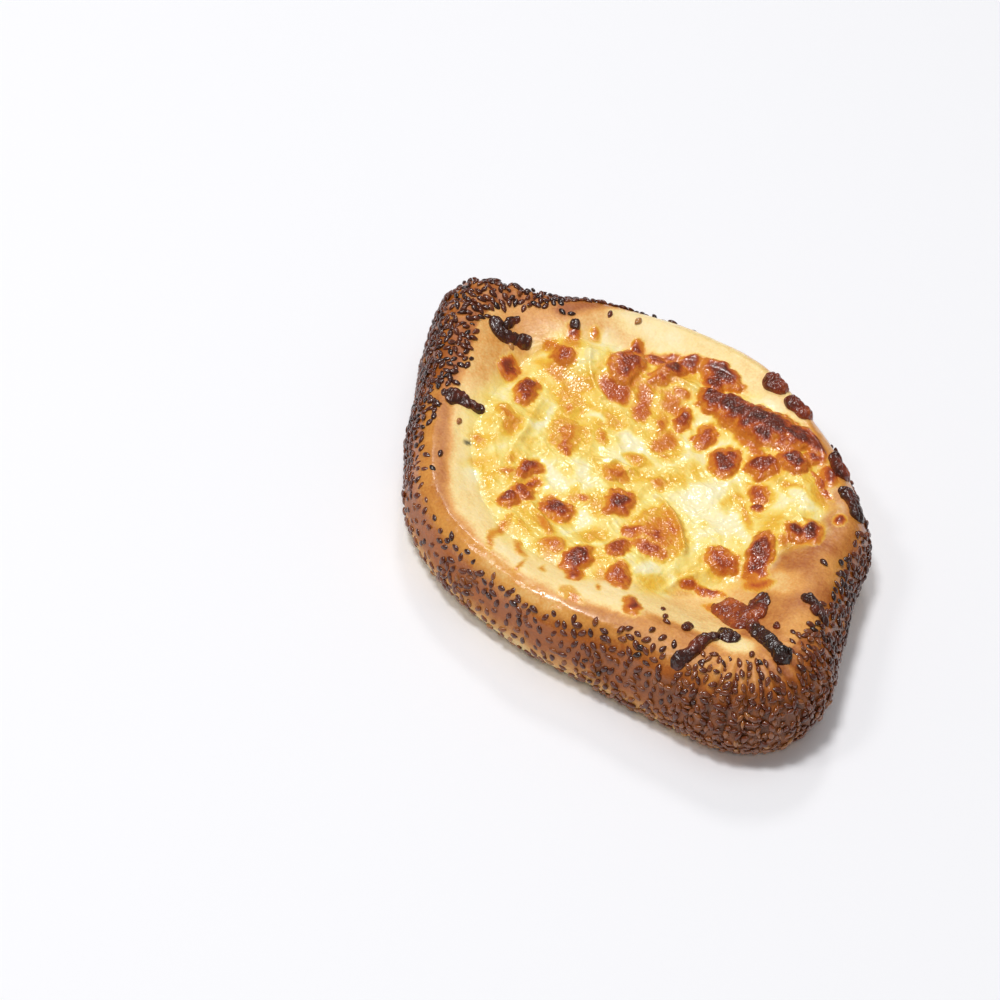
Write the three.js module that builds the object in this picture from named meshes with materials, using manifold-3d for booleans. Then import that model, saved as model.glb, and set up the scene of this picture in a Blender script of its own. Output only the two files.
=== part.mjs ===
// An open, boat-shaped sesame bread filled with melted cheese: the dough with its seeds, the cheese
// sheet with its blisters, and the burnt shreds of cheese that lie on the rim.
// Millimetres, +Z up. +X runs along the bread to its folded front knob, -X to its pinched back tip.
// The origin is the middle of the flat underside.
import * as THREE from "three";
import { mergeVertices } from "three/addons/utils/BufferGeometryUtils.js";
import Module from "manifold-3d";

const wasm = await Module();
wasm.setup();

// ---- Driving dimensions -------------------------------------------------------------------

// The bread from above at its widest height, as points of a smooth closed curve.
const BREAD_OUTLINE = [
  [88, -3], [64, 28], [43, 50], [-10, 62], [-51, 44], [-75, 17],
  [-89, 0], [-76, -20], [-27, -59], [16, -59], [49, -45], [83, -26],
];

// The edge of the melted cheese from above.
const CHEESE_OUTLINE = [
  [44, -6], [46, 8], [47, 22], [44, 34], [35, 43], [14, 51], [-13, 48],
  [-39, 31], [-57, 7], [-49, -17], [-33, -38], [0, -48], [30, -32],
];

// The rolled rim: its crest is highest at the two folded ends.
const RIM = {
  side: { crest: 24, roll: 7, slope: 36 },
  front: { crest: 28, roll: 15, slope: 50 },
  back: { crest: 27, roll: 12, slope: 50 },
};
const FRONT_HEADING = THREE.MathUtils.degToRad(-9);
const END_SHARPNESS = 4;
const WIDEST_HEIGHT = 10.5;
const UNDERSIDE_ROUND = 8;
const DISH_FLOOR = 16;

// The gathered folds of each end fan out from a point on top of the rim.
const FOLDS = [
  { x: 66, y: -13, headingDeg: -12, pitchDeg: 14, depth: 0.9, start: 6, full: 14 },
  { x: -62, y: 0, headingDeg: 180, pitchDeg: 17, depth: 0.8, start: 6, full: 14 },
];
const FOLD_FOOT = 3;
const LUMP_HEIGHT = 0.35;
const RELIEF_FADE = 8;

// The cheese sheet.
const CHEESE_GAP = 0.6;
const CHEESE_EDGE_THICKNESS = 0.9;
const CHEESE_MIDDLE_THICKNESS = 3.8;
const CHEESE_SHOULDER = 16;
const TOUCHING_GAP = 0.3;

// Blisters baked on the cheese: centre, length, width, heading in degrees and rise.
const BLISTERS = [
  { x: -24.4, y: -8.8, length: 15, width: 11, turn: 60, rise: 0.9 },
  { x: -18.6, y: -25.6, length: 9, width: 5, turn: 45, rise: 1.0 },
  { x: -12.2, y: -32.8, length: 12, width: 5, turn: 55, rise: 1.0 },
  { x: -2.7, y: -25.7, length: 10, width: 6.5, turn: 20, rise: 1.2 },
  { x: 4.5, y: -10.2, length: 10, width: 8, turn: 60, rise: 1.3 },
  { x: 16.9, y: -33.1, length: 13, width: 7, turn: 80, rise: 1.2 },
  { x: 26.7, y: -25.8, length: 9, width: 6, turn: 40, rise: 1.0 },
  { x: 20.5, y: -9.5, length: 24, width: 15, turn: 65, rise: 0.8 },
  { x: -5.1, y: -4.8, length: 8, width: 6, turn: 50, rise: 0.8 },
  { x: 35.5, y: 2.8, length: 10, width: 7, turn: 20, rise: 1.2 },
  { x: 39.7, y: 13.5, length: 12, width: 8, turn: 115, rise: 1.7 },
  { x: 38.3, y: 30.2, length: 10, width: 6.5, turn: 50, rise: 1.7 },
  { x: 21.0, y: 26.8, length: 7, width: 5, turn: 100, rise: 0.9 },
  { x: 5.9, y: 24.9, length: 10, width: 7, turn: 30, rise: 1.4 },
  { x: 12.1, y: 34.6, length: 9, width: 5.5, turn: 40, rise: 1.4 },
  { x: 17.5, y: 42.0, length: 8, width: 5, turn: 40, rise: 1.3 },
  { x: -4.1, y: 26.7, length: 8, width: 6, turn: 100, rise: 1.1 },
  { x: -12.8, y: 24.9, length: 8, width: 5.5, turn: 100, rise: 1.1 },
  { x: -37.8, y: 22.5, length: 13, width: 9, turn: 40, rise: 1.7 },
  { x: -28.5, y: 34.0, length: 9, width: 6, turn: 40, rise: 1.3 },
  { x: -48.5, y: 8.0, length: 10, width: 6, turn: 50, rise: 1.0 },
  { x: -45.4, y: -7.1, length: 9, width: 8, turn: 100, rise: 1.2 },
  { x: -15.0, y: 36.0, length: 12, width: 8, turn: 40, rise: 2.0 },
  { x: -5.0, y: 41.5, length: 15, width: 9, turn: 35, rise: 2.4 },
  { x: 6.5, y: 45.0, length: 15, width: 8, turn: 22, rise: 2.2 },
];
const BLISTER_SUNK = 0.5;
const BLISTER_KEEL = 0.3;

// Burnt strips and crumbs of cheese on the dough. Each is one or more strips that share a point:
// the strip's points from above, its width and its thickness.
const SHREDS = {
  shred_back_hook: [
    { path: [[-67.5, -2.5], [-63, -3.5], [-58.5, -0.5], [-56, 2.5]], width: 4.6, thickness: 2 },
    { path: [[-63, -3.5], [-64.5, 1.5]], width: 3, thickness: 1.6 },
  ],
  shred_left_oval: [{ path: [[-50, -32.5], [-46, -30], [-41, -26.5]], width: 5, thickness: 2 }],
  shred_far_edge: [{ path: [[-13, 53], [-9.5, 54.5], [-5, 57]], width: 5.5, thickness: 2.2 }],
  shred_far_corner: [{ path: [[-1.5, 54.5], [2.5, 56.5], [7, 56]], width: 5, thickness: 2.2 }],
  shred_right_lump: [{ path: [[22.5, 54], [27, 51.5], [31, 50.5]], width: 5, thickness: 2.4 }],
  shred_right_strip: [{ path: [[35, 48], [40, 46.5], [45, 43.5]], width: 4.2, thickness: 2.2 }],
  shred_front_right: [{ path: [[61.5, 9.5], [65.5, 10], [69.5, 9.5], [72.5, 11]], width: 3.2, thickness: 1.8 }],
  shred_front_star: [
    { path: [[53, -8], [59, -7.5], [66, -9], [73, -10], [80, -9]], width: 5, thickness: 2.2 },
    { path: [[60, -7.5], [57, -1], [54.5, 4]], width: 5, thickness: 1.8 },
    { path: [[61, -8], [55, -6], [50, -4]], width: 4.5, thickness: 1.6 },
  ],
  shred_front_strip: [
    { path: [[65.5, -15.5], [61.5, -17.5], [61.8, -22.5], [63.2, -29], [62, -35]], width: 4.2, thickness: 2 },
  ],
  shred_crumb_near: [{ path: [[54.4, -25.4], [57, -23]], width: 2.4, thickness: 1.4 }],
  shred_crumb_back: [{ path: [[-55.5, 16.4], [-52.4, 16]], width: 2.4, thickness: 1.4 }],
  shred_crumb_front: [{ path: [[65.4, -2.8], [68, -3.6]], width: 2.2, thickness: 1.3 }],
};
const SHRED_BURIED = 1.2;
const SHRED_WAVE = 0.18;

// Sesame seeds, and how closely they lie on each part of the wall.
const SEED = { length: 3.3, width: 1.95, thickness: 1.15, standsOut: 0.22 };
const SEED_COUNT = 215;
const SEED_TRIES = 60000;
const SEED_SPACING = 3.9;
const SEED_RANDOM_START = 17;
const SEED_LOWEST = 1.6;
const SEED_CLEAR_OF_CHEESE = 3.2;
const SEED_SEATED_SHARE = 0.12;

// Facets.
const COARSE_STEP = THREE.MathUtils.degToRad(6);
const FINE_STEP = THREE.MathUtils.degToRad(1.15);
const EDGE_SAMPLES = 720;
const UNDER_RINGS = 2;
const ROLL_RINGS = 5;
const SLOPE_RINGS = 4;
const CHEESE_SPOKES = 48;
const CHEESE_TOP_RINGS = 7;
const CHEESE_UNDER_RINGS = 4;
const STRIP_SIDES = 6;
const SEED_SIDES = 6;
const BLISTER_SIDES = 7;

const DOUGH = new THREE.MeshStandardMaterial({ color: 0xb8702c, roughness: 0.5, metalness: 0 });
const CHEESE = new THREE.MeshStandardMaterial({ color: 0xf0cc62, roughness: 0.35, metalness: 0 });
const BURNT = new THREE.MeshStandardMaterial({ color: 0x4a1a0c, roughness: 0.35, metalness: 0 });

// ---- Small helpers ------------------------------------------------------------------------

const { clamp, lerp, smoothstep, degToRad } = THREE.MathUtils;

// A repeatable stream of numbers from 0 to 1.
function randomStream(start) {
  let state = start;
  return () => {
    state = (state + 0x6d2b79f5) | 0;
    let bits = Math.imul(state ^ (state >>> 15), 1 | state);
    bits = (bits + Math.imul(bits ^ (bits >>> 7), 61 | bits)) ^ bits;
    return ((bits ^ (bits >>> 14)) >>> 0) / 4294967296;
  };
}

// The distance from the origin to a closed outline, as a function of the angle from +X.
function edgeRadius(outline) {
  const corners = outline.map(([x, y]) => new THREE.Vector3(x, y, 0));
  const curve = new THREE.CatmullRomCurve3(corners, true, "catmullrom", 0.5);
  const samples = [];
  for (let i = 0; i < EDGE_SAMPLES; i += 1) {
    const point = curve.getPoint(i / EDGE_SAMPLES);
    samples.push({ angle: Math.atan2(point.y, point.x), radius: Math.hypot(point.x, point.y) });
  }
  samples.sort((a, b) => a.angle - b.angle);
  const first = samples[0];
  const last = samples[samples.length - 1];
  samples.push({ angle: first.angle + 2 * Math.PI, radius: first.radius });
  samples.unshift({ angle: last.angle - 2 * Math.PI, radius: last.radius });
  return (angle) => {
    const wrapped = Math.atan2(Math.sin(angle), Math.cos(angle));
    const next = Math.max(1, samples.findIndex((sample) => sample.angle >= wrapped));
    const a = samples[next - 1];
    const b = samples[next];
    return lerp(a.radius, b.radius, (wrapped - a.angle) / (b.angle - a.angle));
  };
}

const breadRadius = edgeRadius(BREAD_OUTLINE);
const cheeseRadius = edgeRadius(CHEESE_OUTLINE);

// A closed mesh from rings of points, each ring counter-clockwise seen from above, joined in order
// and shut by one point at each end. The first ring lies underneath.
function ringsGeometry(rings, firstPole, lastPole) {
  const count = rings[0].length;
  const positions = [...firstPole];
  const faces = [];
  for (const ring of rings) {
    for (const point of ring) positions.push(...point);
  }
  positions.push(...lastPole);
  const at = (ring, spoke) => 1 + ring * count + (spoke % count);
  const lastIndex = 1 + rings.length * count;
  for (let spoke = 0; spoke < count; spoke += 1) {
    faces.push(0, at(0, spoke + 1), at(0, spoke));
    faces.push(lastIndex, at(rings.length - 1, spoke), at(rings.length - 1, spoke + 1));
    for (let ring = 0; ring + 1 < rings.length; ring += 1) {
      faces.push(at(ring, spoke), at(ring, spoke + 1), at(ring + 1, spoke + 1));
      faces.push(at(ring, spoke), at(ring + 1, spoke + 1), at(ring + 1, spoke));
    }
  }
  const geometry = new THREE.BufferGeometry();
  geometry.setAttribute("position", new THREE.Float32BufferAttribute(positions, 3));
  geometry.setIndex(faces);
  return geometry;
}

// A three.js geometry as a solid for cutting and joining, and back again.
function toSolid(geometry) {
  const bare = geometry.clone();
  bare.deleteAttribute("normal");
  bare.deleteAttribute("uv");
  const merged = mergeVertices(bare, 1e-5);
  return new wasm.Manifold(new wasm.Mesh({
    numProp: 3,
    vertProperties: new Float32Array(merged.attributes.position.array),
    triVerts: new Uint32Array(merged.index.array),
  }));
}

function toGeometry(solid) {
  const mesh = solid.getMesh();
  const geometry = new THREE.BufferGeometry();
  geometry.setAttribute("position", new THREE.BufferAttribute(mesh.vertProperties, 3));
  geometry.setIndex(new THREE.BufferAttribute(mesh.triVerts, 1));
  geometry.computeVertexNormals();
  return geometry;
}

// ---- The dough ----------------------------------------------------------------------------

// The rim's measures at an angle: the side's, turning into an end's close to that end.
function rimAt(angle) {
  const front = clamp(Math.cos(angle - FRONT_HEADING), 0, 1) ** END_SHARPNESS;
  const back = clamp(-Math.cos(angle), 0, 1) ** END_SHARPNESS;
  const blend = (key) => RIM.side[key]
    + (RIM.front[key] - RIM.side[key]) * front
    + (RIM.back[key] - RIM.side[key]) * back;
  return { crest: blend("crest"), roll: blend("roll"), slope: blend("slope") };
}

// Height of the dough's upper side at a distance in from the outline: a quarter ellipse up to the
// crest, then an even slope down to the dish floor.
function doughHeight(angle, inset) {
  const { crest, roll, slope } = rimAt(angle);
  if (inset < roll) {
    const out = clamp((roll - inset) / roll, 0, 1);
    return WIDEST_HEIGHT + (crest - WIDEST_HEIGHT) * Math.sqrt(1 - out * out);
  }
  return lerp(crest, DISH_FLOOR, smoothstep(inset, roll, slope));
}

// How far one fan of folds pushes the surface out at a point: a cosine of the angle round the fan.
function foldPush(fold, x, y, z) {
  const heading = degToRad(fold.headingDeg);
  const ahead = (x - fold.x) * Math.cos(heading) + (y - fold.y) * Math.sin(heading);
  const aside = (y - fold.y) * Math.cos(heading) - (x - fold.x) * Math.sin(heading);
  const distance = Math.hypot(ahead, aside);
  const grown = smoothstep(distance, fold.start, fold.full);
  const facing = smoothstep(ahead / (distance + 1e-6), 0.1, 0.6);
  const foot = smoothstep(z, FOLD_FOOT, WIDEST_HEIGHT);
  const ripple = Math.cos((2 * Math.PI * Math.atan2(aside, ahead)) / degToRad(fold.pitchDeg));
  return fold.depth * grown * facing * foot * ripple;
}

// Gentle unevenness of the wall.
function lumpPush(x, y, z) {
  const wave = Math.sin(x / 6.3 + 1.1) * Math.sin(y / 5.4 + 0.6) + 0.7 * Math.sin((x + y) / 8.7 + z / 4.1);
  return LUMP_HEIGHT * wave * smoothstep(z, 0.5, FOLD_FOOT + 3);
}

// The folds and lumps together at a point, fading out down the inner slope.
function reliefPush(x, y, z, inset, roll) {
  const push = FOLDS.reduce((sum, fold) => sum + foldPush(fold, x, y, z), lumpPush(x, y, z));
  return push * (1 - smoothstep(inset, roll, roll + RELIEF_FADE));
}

// Height of the finished dough at a point seen from above.
function doughHeightAt(x, y) {
  const angle = Math.atan2(y, x);
  const inset = breadRadius(angle) - Math.hypot(x, y);
  const z = doughHeight(angle, inset);
  return z + reliefPush(x, y, z, inset, rimAt(angle).roll);
}

// One upright section of the dough from the underside's edge over the crest to the dish floor,
// as distances from the middle and heights, with the folds and lumps pushed out.
function doughSection(angle) {
  const rim = breadRadius(angle);
  const { crest, roll, slope } = rimAt(angle);
  const points = [];
  for (let i = 0; i <= UNDER_RINGS; i += 1) {
    const turn = (i / UNDER_RINGS) * Math.PI / 2;
    const out = rim - UNDERSIDE_ROUND * (1 - Math.sin(turn));
    points.push({ out, z: WIDEST_HEIGHT * (1 - Math.cos(turn)), leanOut: Math.sin(turn), leanUp: -Math.cos(turn) });
  }
  for (let i = 1; i <= ROLL_RINGS; i += 1) {
    const turn = (i / ROLL_RINGS) * Math.PI / 2;
    const out = rim - roll * (1 - Math.cos(turn));
    const z = WIDEST_HEIGHT + (crest - WIDEST_HEIGHT) * Math.sin(turn);
    points.push({ out, z, leanOut: Math.cos(turn), leanUp: Math.sin(turn) });
  }
  for (let i = 1; i <= SLOPE_RINGS; i += 1) {
    const inset = lerp(roll, slope, i / SLOPE_RINGS);
    points.push({ out: rim - inset, z: doughHeight(angle, inset), leanOut: 0, leanUp: 1 });
  }
  return points.map(({ out, z, leanOut, leanUp }) => {
    const x = out * Math.cos(angle);
    const y = out * Math.sin(angle);
    const push = reliefPush(x, y, z, rim - out, roll);
    const pushed = out + leanOut * push;
    return [pushed * Math.cos(angle), pushed * Math.sin(angle), z + Math.max(leanUp, 0) * push];
  });
}

// Angles round the dough, close together over the folded ends.
function spokeAngles() {
  const angles = [];
  let angle = -Math.PI;
  while (angle < Math.PI - FINE_STEP / 2) {
    angles.push(angle);
    const nearFront = smoothstep(Math.cos(angle - FRONT_HEADING), 0.88, 0.95);
    const nearBack = 0.6 * smoothstep(-Math.cos(angle), 0.93, 0.98);
    angle += lerp(COARSE_STEP, FINE_STEP, Math.max(nearFront, nearBack));
  }
  return angles;
}

function doughCore() {
  const sections = spokeAngles().map(doughSection);
  const rings = sections[0].map((_, ring) => sections.map((section) => section[ring]));
  return toSolid(ringsGeometry(rings, [0, 0, 0], [0, 0, DISH_FLOOR]));
}

// ---- Sesame seeds -------------------------------------------------------------------------

// How thickly the seeds lie, from 0 to 1, at an angle, a distance in from the outline and a height.
function seedDensity(angle, inset, z) {
  const front = smoothstep(Math.cos(angle - FRONT_HEADING), 0.72, 0.95);
  const back = smoothstep(-Math.cos(angle), 0.72, 0.95);
  const left = smoothstep(Math.cos(angle - degToRad(222)), 0.75, 0.95);
  const { roll } = rimAt(angle);
  const onTop = smoothstep(inset, roll * lerp(0.35, 0.8, Math.max(front, back, left)), roll * 1.15);
  const wall = 0.45 + 0.55 * Math.max(front, back, left);
  const foot = smoothstep(z, SEED_LOWEST, SEED_LOWEST + 3);
  return wall * (1 - onTop) * lerp(0.4, 1, foot);
}

// A flat drop: one pointed ring between two low peaks, the lower of which is sunk in the dough.
function seedGeometry() {
  const ring = [];
  for (let i = 0; i < SEED_SIDES; i += 1) {
    const turn = (i / SEED_SIDES) * 2 * Math.PI;
    const along = Math.cos(turn);
    const narrow = along > 0 ? 1 - 0.35 * along : 1;
    ring.push([along * SEED.length / 2, Math.sin(turn) * narrow * SEED.width / 2, 0]);
  }
  const half = SEED.thickness / 2;
  return ringsGeometry([ring], [0, 0, -2 * half], [-0.1 * SEED.length, 0, half]);
}

function distanceToStrip(x, y, path) {
  let nearest = Infinity;
  for (let i = 0; i + 1 < path.length; i += 1) {
    const [ax, ay] = path[i];
    const [bx, by] = path[i + 1];
    const span = (bx - ax) ** 2 + (by - ay) ** 2;
    const along = clamp(((x - ax) * (bx - ax) + (y - ay) * (by - ay)) / span, 0, 1);
    nearest = Math.min(nearest, Math.hypot(x - lerp(ax, bx, along), y - lerp(ay, by, along)));
  }
  return nearest;
}

function clearOfToppings(x, y) {
  const angle = Math.atan2(y, x);
  if (Math.hypot(x, y) < cheeseRadius(angle) + SEED_CLEAR_OF_CHEESE) return false;
  return Object.values(SHREDS).flat().every(
    ({ path, width }) => distanceToStrip(x, y, path) > width / 2 + SEED.length / 2 + TOUCHING_GAP,
  );
}

// Where each seed lies: a random walk over the wall that keeps the seeds apart.
function seedPlacements(surface) {
  const random = randomStream(SEED_RANDOM_START);
  const placed = [];
  for (let attempt = 0; attempt < SEED_TRIES && placed.length < SEED_COUNT; attempt += 1) {
    const angle = (random() * 2 - 1) * Math.PI;
    const climb = random();
    const chance = random();
    const spin = random() * Math.PI;
    const spot = surface(angle, climb);
    const inset = breadRadius(angle) - spot.out;
    if (spot.z < SEED_LOWEST || chance > seedDensity(angle, inset, spot.z)) continue;
    if (spot.z > WIDEST_HEIGHT && !clearOfToppings(spot.position.x, spot.position.y)) continue;
    if (placed.some((other) => other.position.distanceTo(spot.position) < SEED_SPACING)) continue;
    placed.push({ ...spot, spin });
  }
  return placed;
}

// A point of the pushed-out section, with the outward direction there.
function wallSurface(angle, climb) {
  const turnStep = 0.01;
  const section = doughSection(angle);
  const beside = doughSection(angle + turnStep);
  const place = climb * (UNDER_RINGS + ROLL_RINGS + 1);
  const ring = Math.min(Math.floor(place), section.length - 2);
  const part = place - ring;
  const point = (s, i) => new THREE.Vector3(...s[i]);
  const position = point(section, ring).lerp(point(section, ring + 1), part);
  const up = point(section, ring + 1).sub(point(section, ring));
  const along = point(beside, ring).sub(point(section, ring));
  const normal = along.cross(up).normalize();
  return { position, normal, out: Math.hypot(position.x, position.y), z: position.z };
}

function seedSolid({ position, normal, spin }) {
  const facing = new THREE.Quaternion().setFromUnitVectors(new THREE.Vector3(0, 0, 1), normal);
  const turned = new THREE.Quaternion().setFromAxisAngle(new THREE.Vector3(0, 0, 1), spin);
  const centre = position.clone().addScaledVector(normal, SEED.standsOut);
  const matrix = new THREE.Matrix4().compose(centre, facing.multiply(turned), new THREE.Vector3(1, 1, 1));
  return toSolid(seedGeometry().applyMatrix4(matrix));
}

// The dough with every seed that is seated in it.
function breadSolid(core) {
  return seedPlacements(wallSurface).reduce((bread, place) => {
    const seed = seedSolid(place);
    const seated = core.intersect(seed).volume() > SEED_SEATED_SHARE * seed.volume();
    return seated ? bread.add(seed) : bread;
  }, core);
}

// ---- The cheese ---------------------------------------------------------------------------

// Thickness of the sheet: thin at its edge, full once well inside.
function cheeseThickness(angle, out) {
  const inside = cheeseRadius(angle) - out;
  return lerp(CHEESE_EDGE_THICKNESS, CHEESE_MIDDLE_THICKNESS, smoothstep(inside, 0, CHEESE_SHOULDER));
}

function cheeseRing(share, lift) {
  const ring = [];
  for (let spoke = 0; spoke < CHEESE_SPOKES; spoke += 1) {
    const angle = (spoke / CHEESE_SPOKES) * 2 * Math.PI;
    const out = cheeseRadius(angle) * share;
    const x = out * Math.cos(angle);
    const y = out * Math.sin(angle);
    ring.push([x, y, doughHeightAt(x, y) + lift(angle, out)]);
  }
  return ring;
}

// The sheet, its underside a stated gap above the dough.
function cheeseSheet(gap) {
  const rings = [];
  for (let i = 1; i <= CHEESE_UNDER_RINGS; i += 1) rings.push(cheeseRing(i / CHEESE_UNDER_RINGS, () => gap));
  for (let i = CHEESE_TOP_RINGS; i >= 1; i -= 1) {
    const share = i / CHEESE_TOP_RINGS;
    rings.push(cheeseRing(share, (angle, out) => CHEESE_GAP + cheeseThickness(angle, out)));
  }
  const top = DISH_FLOOR + CHEESE_GAP + CHEESE_MIDDLE_THICKNESS;
  return toSolid(ringsGeometry(rings, [0, 0, DISH_FLOOR + gap], [0, 0, top]));
}

// One blister: a low dome, its lower half flattened inside the sheet.
function blisterSolid({ x, y, length, width, turn, rise }) {
  const dome = new THREE.SphereGeometry(1, BLISTER_SIDES, 4);
  dome.rotateX(Math.PI / 2);
  const position = dome.attributes.position;
  for (let i = 0; i < position.count; i += 1) {
    position.setZ(i, position.getZ(i) * (position.getZ(i) > 0 ? rise + BLISTER_SUNK : BLISTER_KEEL));
  }
  dome.scale(length / 2, width / 2, 1);
  dome.rotateZ(degToRad(turn));
  const top = doughHeightAt(x, y) + CHEESE_GAP + cheeseThickness(Math.atan2(y, x), Math.hypot(x, y));
  dome.translate(x, y, top - BLISTER_SUNK);
  return toSolid(dome);
}

function cheeseSolid() {
  return BLISTERS.reduce((sheet, blister) => sheet.add(blisterSolid(blister)), cheeseSheet(CHEESE_GAP));
}

// ---- Burnt shreds -------------------------------------------------------------------------

// One wavy strip along a path: a six-sided section, its lower side sunk into what it lies on, and
// both ends drawn in to a blunt point.
function stripSolid({ path, width, thickness }, restsAt) {
  const curve = new THREE.CatmullRomCurve3(path.map(([x, y]) => new THREE.Vector3(x, y, 0)));
  const stations = 2 * path.length;
  const ringAt = (share, scale) => {
    const middle = curve.getPoint(share);
    const ahead = curve.getTangent(share);
    const side = new THREE.Vector3(-ahead.y, ahead.x, 0);
    const wave = 1 + SHRED_WAVE * Math.sin(share * 9 + path[0][0]);
    const ring = [];
    for (let i = 0; i < STRIP_SIDES; i += 1) {
      const turn = ((i + 0.5) / STRIP_SIDES) * 2 * Math.PI;
      const across = Math.cos(turn) * (width / 2) * scale * wave;
      const x = middle.x + side.x * across;
      const y = middle.y + side.y * across;
      const lift = Math.sin(turn) > 0 ? thickness * Math.sin(turn) * scale * wave : -SHRED_BURIED;
      ring.push([x, y, restsAt(x, y) + lift]);
    }
    return ring;
  };
  const rings = [];
  for (let i = 0; i <= stations; i += 1) {
    const share = i / stations;
    rings.push(ringAt(share, i === 0 || i === stations ? 0.55 : 1));
  }
  const pole = ([x, y]) => [x, y, restsAt(x, y)];
  return toSolid(ringsGeometry(rings, pole(path[0]), pole(path[path.length - 1])));
}

// A piece made of one or more strips, cut back by what it rests on.
function shredSolid(strips, supports) {
  const whole = strips.map((strip) => stripSolid(strip, doughHeightAt)).reduce((a, b) => a.add(b));
  return supports.reduce((piece, support) => piece.subtract(support), whole);
}

// ---- The whole ----------------------------------------------------------------------------

function namedMesh(name, solid, material) {
  const mesh = new THREE.Mesh(toGeometry(solid), material);
  mesh.name = name;
  return mesh;
}

const core = doughCore();
const liftedCore = core.translate([0, 0, TOUCHING_GAP]);
const cheese = cheeseSolid();
const liftedCheese = cheeseSheet(-SHRED_BURIED * 2).add(cheese).translate([0, 0, TOUCHING_GAP]);

const simit = new THREE.Group();
simit.add(namedMesh("bread", breadSolid(core), DOUGH));
simit.add(namedMesh("cheese", cheese, CHEESE));
for (const [name, strips] of Object.entries(SHREDS)) {
  simit.add(namedMesh(name, shredSolid(strips, [liftedCore, liftedCheese]), BURNT));
}

export default simit;
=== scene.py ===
"""A cheese-topped simit: the looks of the dough, its sesame, the melted cheese and burnt shreds.

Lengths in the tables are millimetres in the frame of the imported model: +X runs along the bread to
its folded front knob, -X to its pinched back tip, +Z is up. MM turns them into metres.
"""

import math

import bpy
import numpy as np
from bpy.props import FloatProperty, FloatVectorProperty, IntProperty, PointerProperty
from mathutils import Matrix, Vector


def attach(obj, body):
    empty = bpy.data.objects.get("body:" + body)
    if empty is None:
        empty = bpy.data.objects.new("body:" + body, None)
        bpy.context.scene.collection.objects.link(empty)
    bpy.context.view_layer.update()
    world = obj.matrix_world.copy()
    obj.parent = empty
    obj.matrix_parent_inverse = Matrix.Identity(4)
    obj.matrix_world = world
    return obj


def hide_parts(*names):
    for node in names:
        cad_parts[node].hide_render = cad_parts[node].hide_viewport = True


bl_info = {
    "name": "Cheese simit",
    "version": (1, 0, 0),
    "blender": (4, 5, 0),
    "location": "View3D > Sidebar > Simit",
    "description": "Crust, sesame, melted cheese and burnt shreds of an open cheese simit",
    "category": "Object",
}

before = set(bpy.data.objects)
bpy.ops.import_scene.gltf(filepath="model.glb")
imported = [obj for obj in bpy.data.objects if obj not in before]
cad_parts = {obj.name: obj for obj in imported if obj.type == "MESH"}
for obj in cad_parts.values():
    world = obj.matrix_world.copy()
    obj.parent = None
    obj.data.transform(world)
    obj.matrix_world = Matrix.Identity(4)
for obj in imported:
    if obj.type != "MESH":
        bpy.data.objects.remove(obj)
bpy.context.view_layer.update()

MM = 0.001
BODY = "root"

# ---- Measures ----------------------------------------------------------------------------------

# The bread from above at its widest height, and the edge of the melted cheese, as points of
# smooth closed curves.
BREAD_OUTLINE = [
    (88, -3), (64, 28), (43, 50), (-10, 62), (-51, 44), (-75, 17),
    (-89, 0), (-76, -20), (-27, -59), (16, -59), (49, -45), (83, -26),
]
CHEESE_OUTLINE = [
    (44, -6), (46, 8), (47, 22), (44, 34), (35, 43), (14, 51), (-13, 48),
    (-39, 31), (-57, 7), (-49, -17), (-33, -38), (0, -48), (30, -32),
]

# Crest height, width of the outer roll and reach of the inner slope: along the sides, at the
# front knob and at the back tip.
RIM_SIDE = (24, 7, 36)
RIM_FRONT = (28, 15, 50)
RIM_BACK = (27, 12, 50)
# Where the front knob points, and how suddenly the rim of the sides turns into that of an end.
FRONT_HEADING = math.radians(-9)
END_SHARPNESS = 4
# Heights of the widest place and of the dish's floor, and the reach of the rounded lower edge.
WIDEST_HEIGHT = 10.5
DISH_FLOOR = 16.0
UNDERSIDE_ROUND = 8.0

# The gathered folds of each end: centre of the fan, heading, angle from fold to fold, depth, the
# distances at which they begin and are full, and how bare of seeds their ridges are.
FOLDS = [
    {"x": 66, "y": -13, "heading": -12, "pitch": 14, "depth": 1, "start": 5, "full": 13,
     "bare": 0.85},
    {"x": -62, "y": 0, "heading": 180, "pitch": 17, "depth": 0.9, "start": 6, "full": 14,
     "bare": 0.3},
]
# The height at which the folds begin.
FOLD_FOOT = 3.0
# How high the rest of the crust's relief stands, how high the middle of the underside lies, and
# how far in from the crest the relief fades out.
LUMP_HEIGHT = 0.35
DENT_HEIGHT = 0.35
FINE_DENT_HEIGHT = 0.18
STREAK_HEIGHT = 0.3
RAGGED_FOOT_HEIGHT = 1.1
UNDERSIDE_HOLLOW = 0.9
UNDERSIDE_MIDDLE = 0.3
RELIEF_FADE = 8.0
# How high up the wall the floury, paler foot ends, and how far its edge wanders.
FOOT_TOP = 14.5
FOOT_WOBBLE = 3.0
# How toasted the wall is at its top and at its foot: between the seeds, and what a crowd of seeds
# adds. Then the climbs between which the colour of the upper side turns into the wall's.
WALL_TOAST = (0.6, 0.04)
SEEDED_TOAST = (0.36, 0.75)
WALL_CLIMBS = (1.78, 1.3)
# How far in from the outline the glaze of the crest ends and is full.
GLAZE_REACH = (8.2, 6.2)
# Rows of points on the underside, below and above the widest height, on the inner slope and on
# the dish.
CRUST_ROWS = (22, 18, 34, 44, 7)

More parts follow.
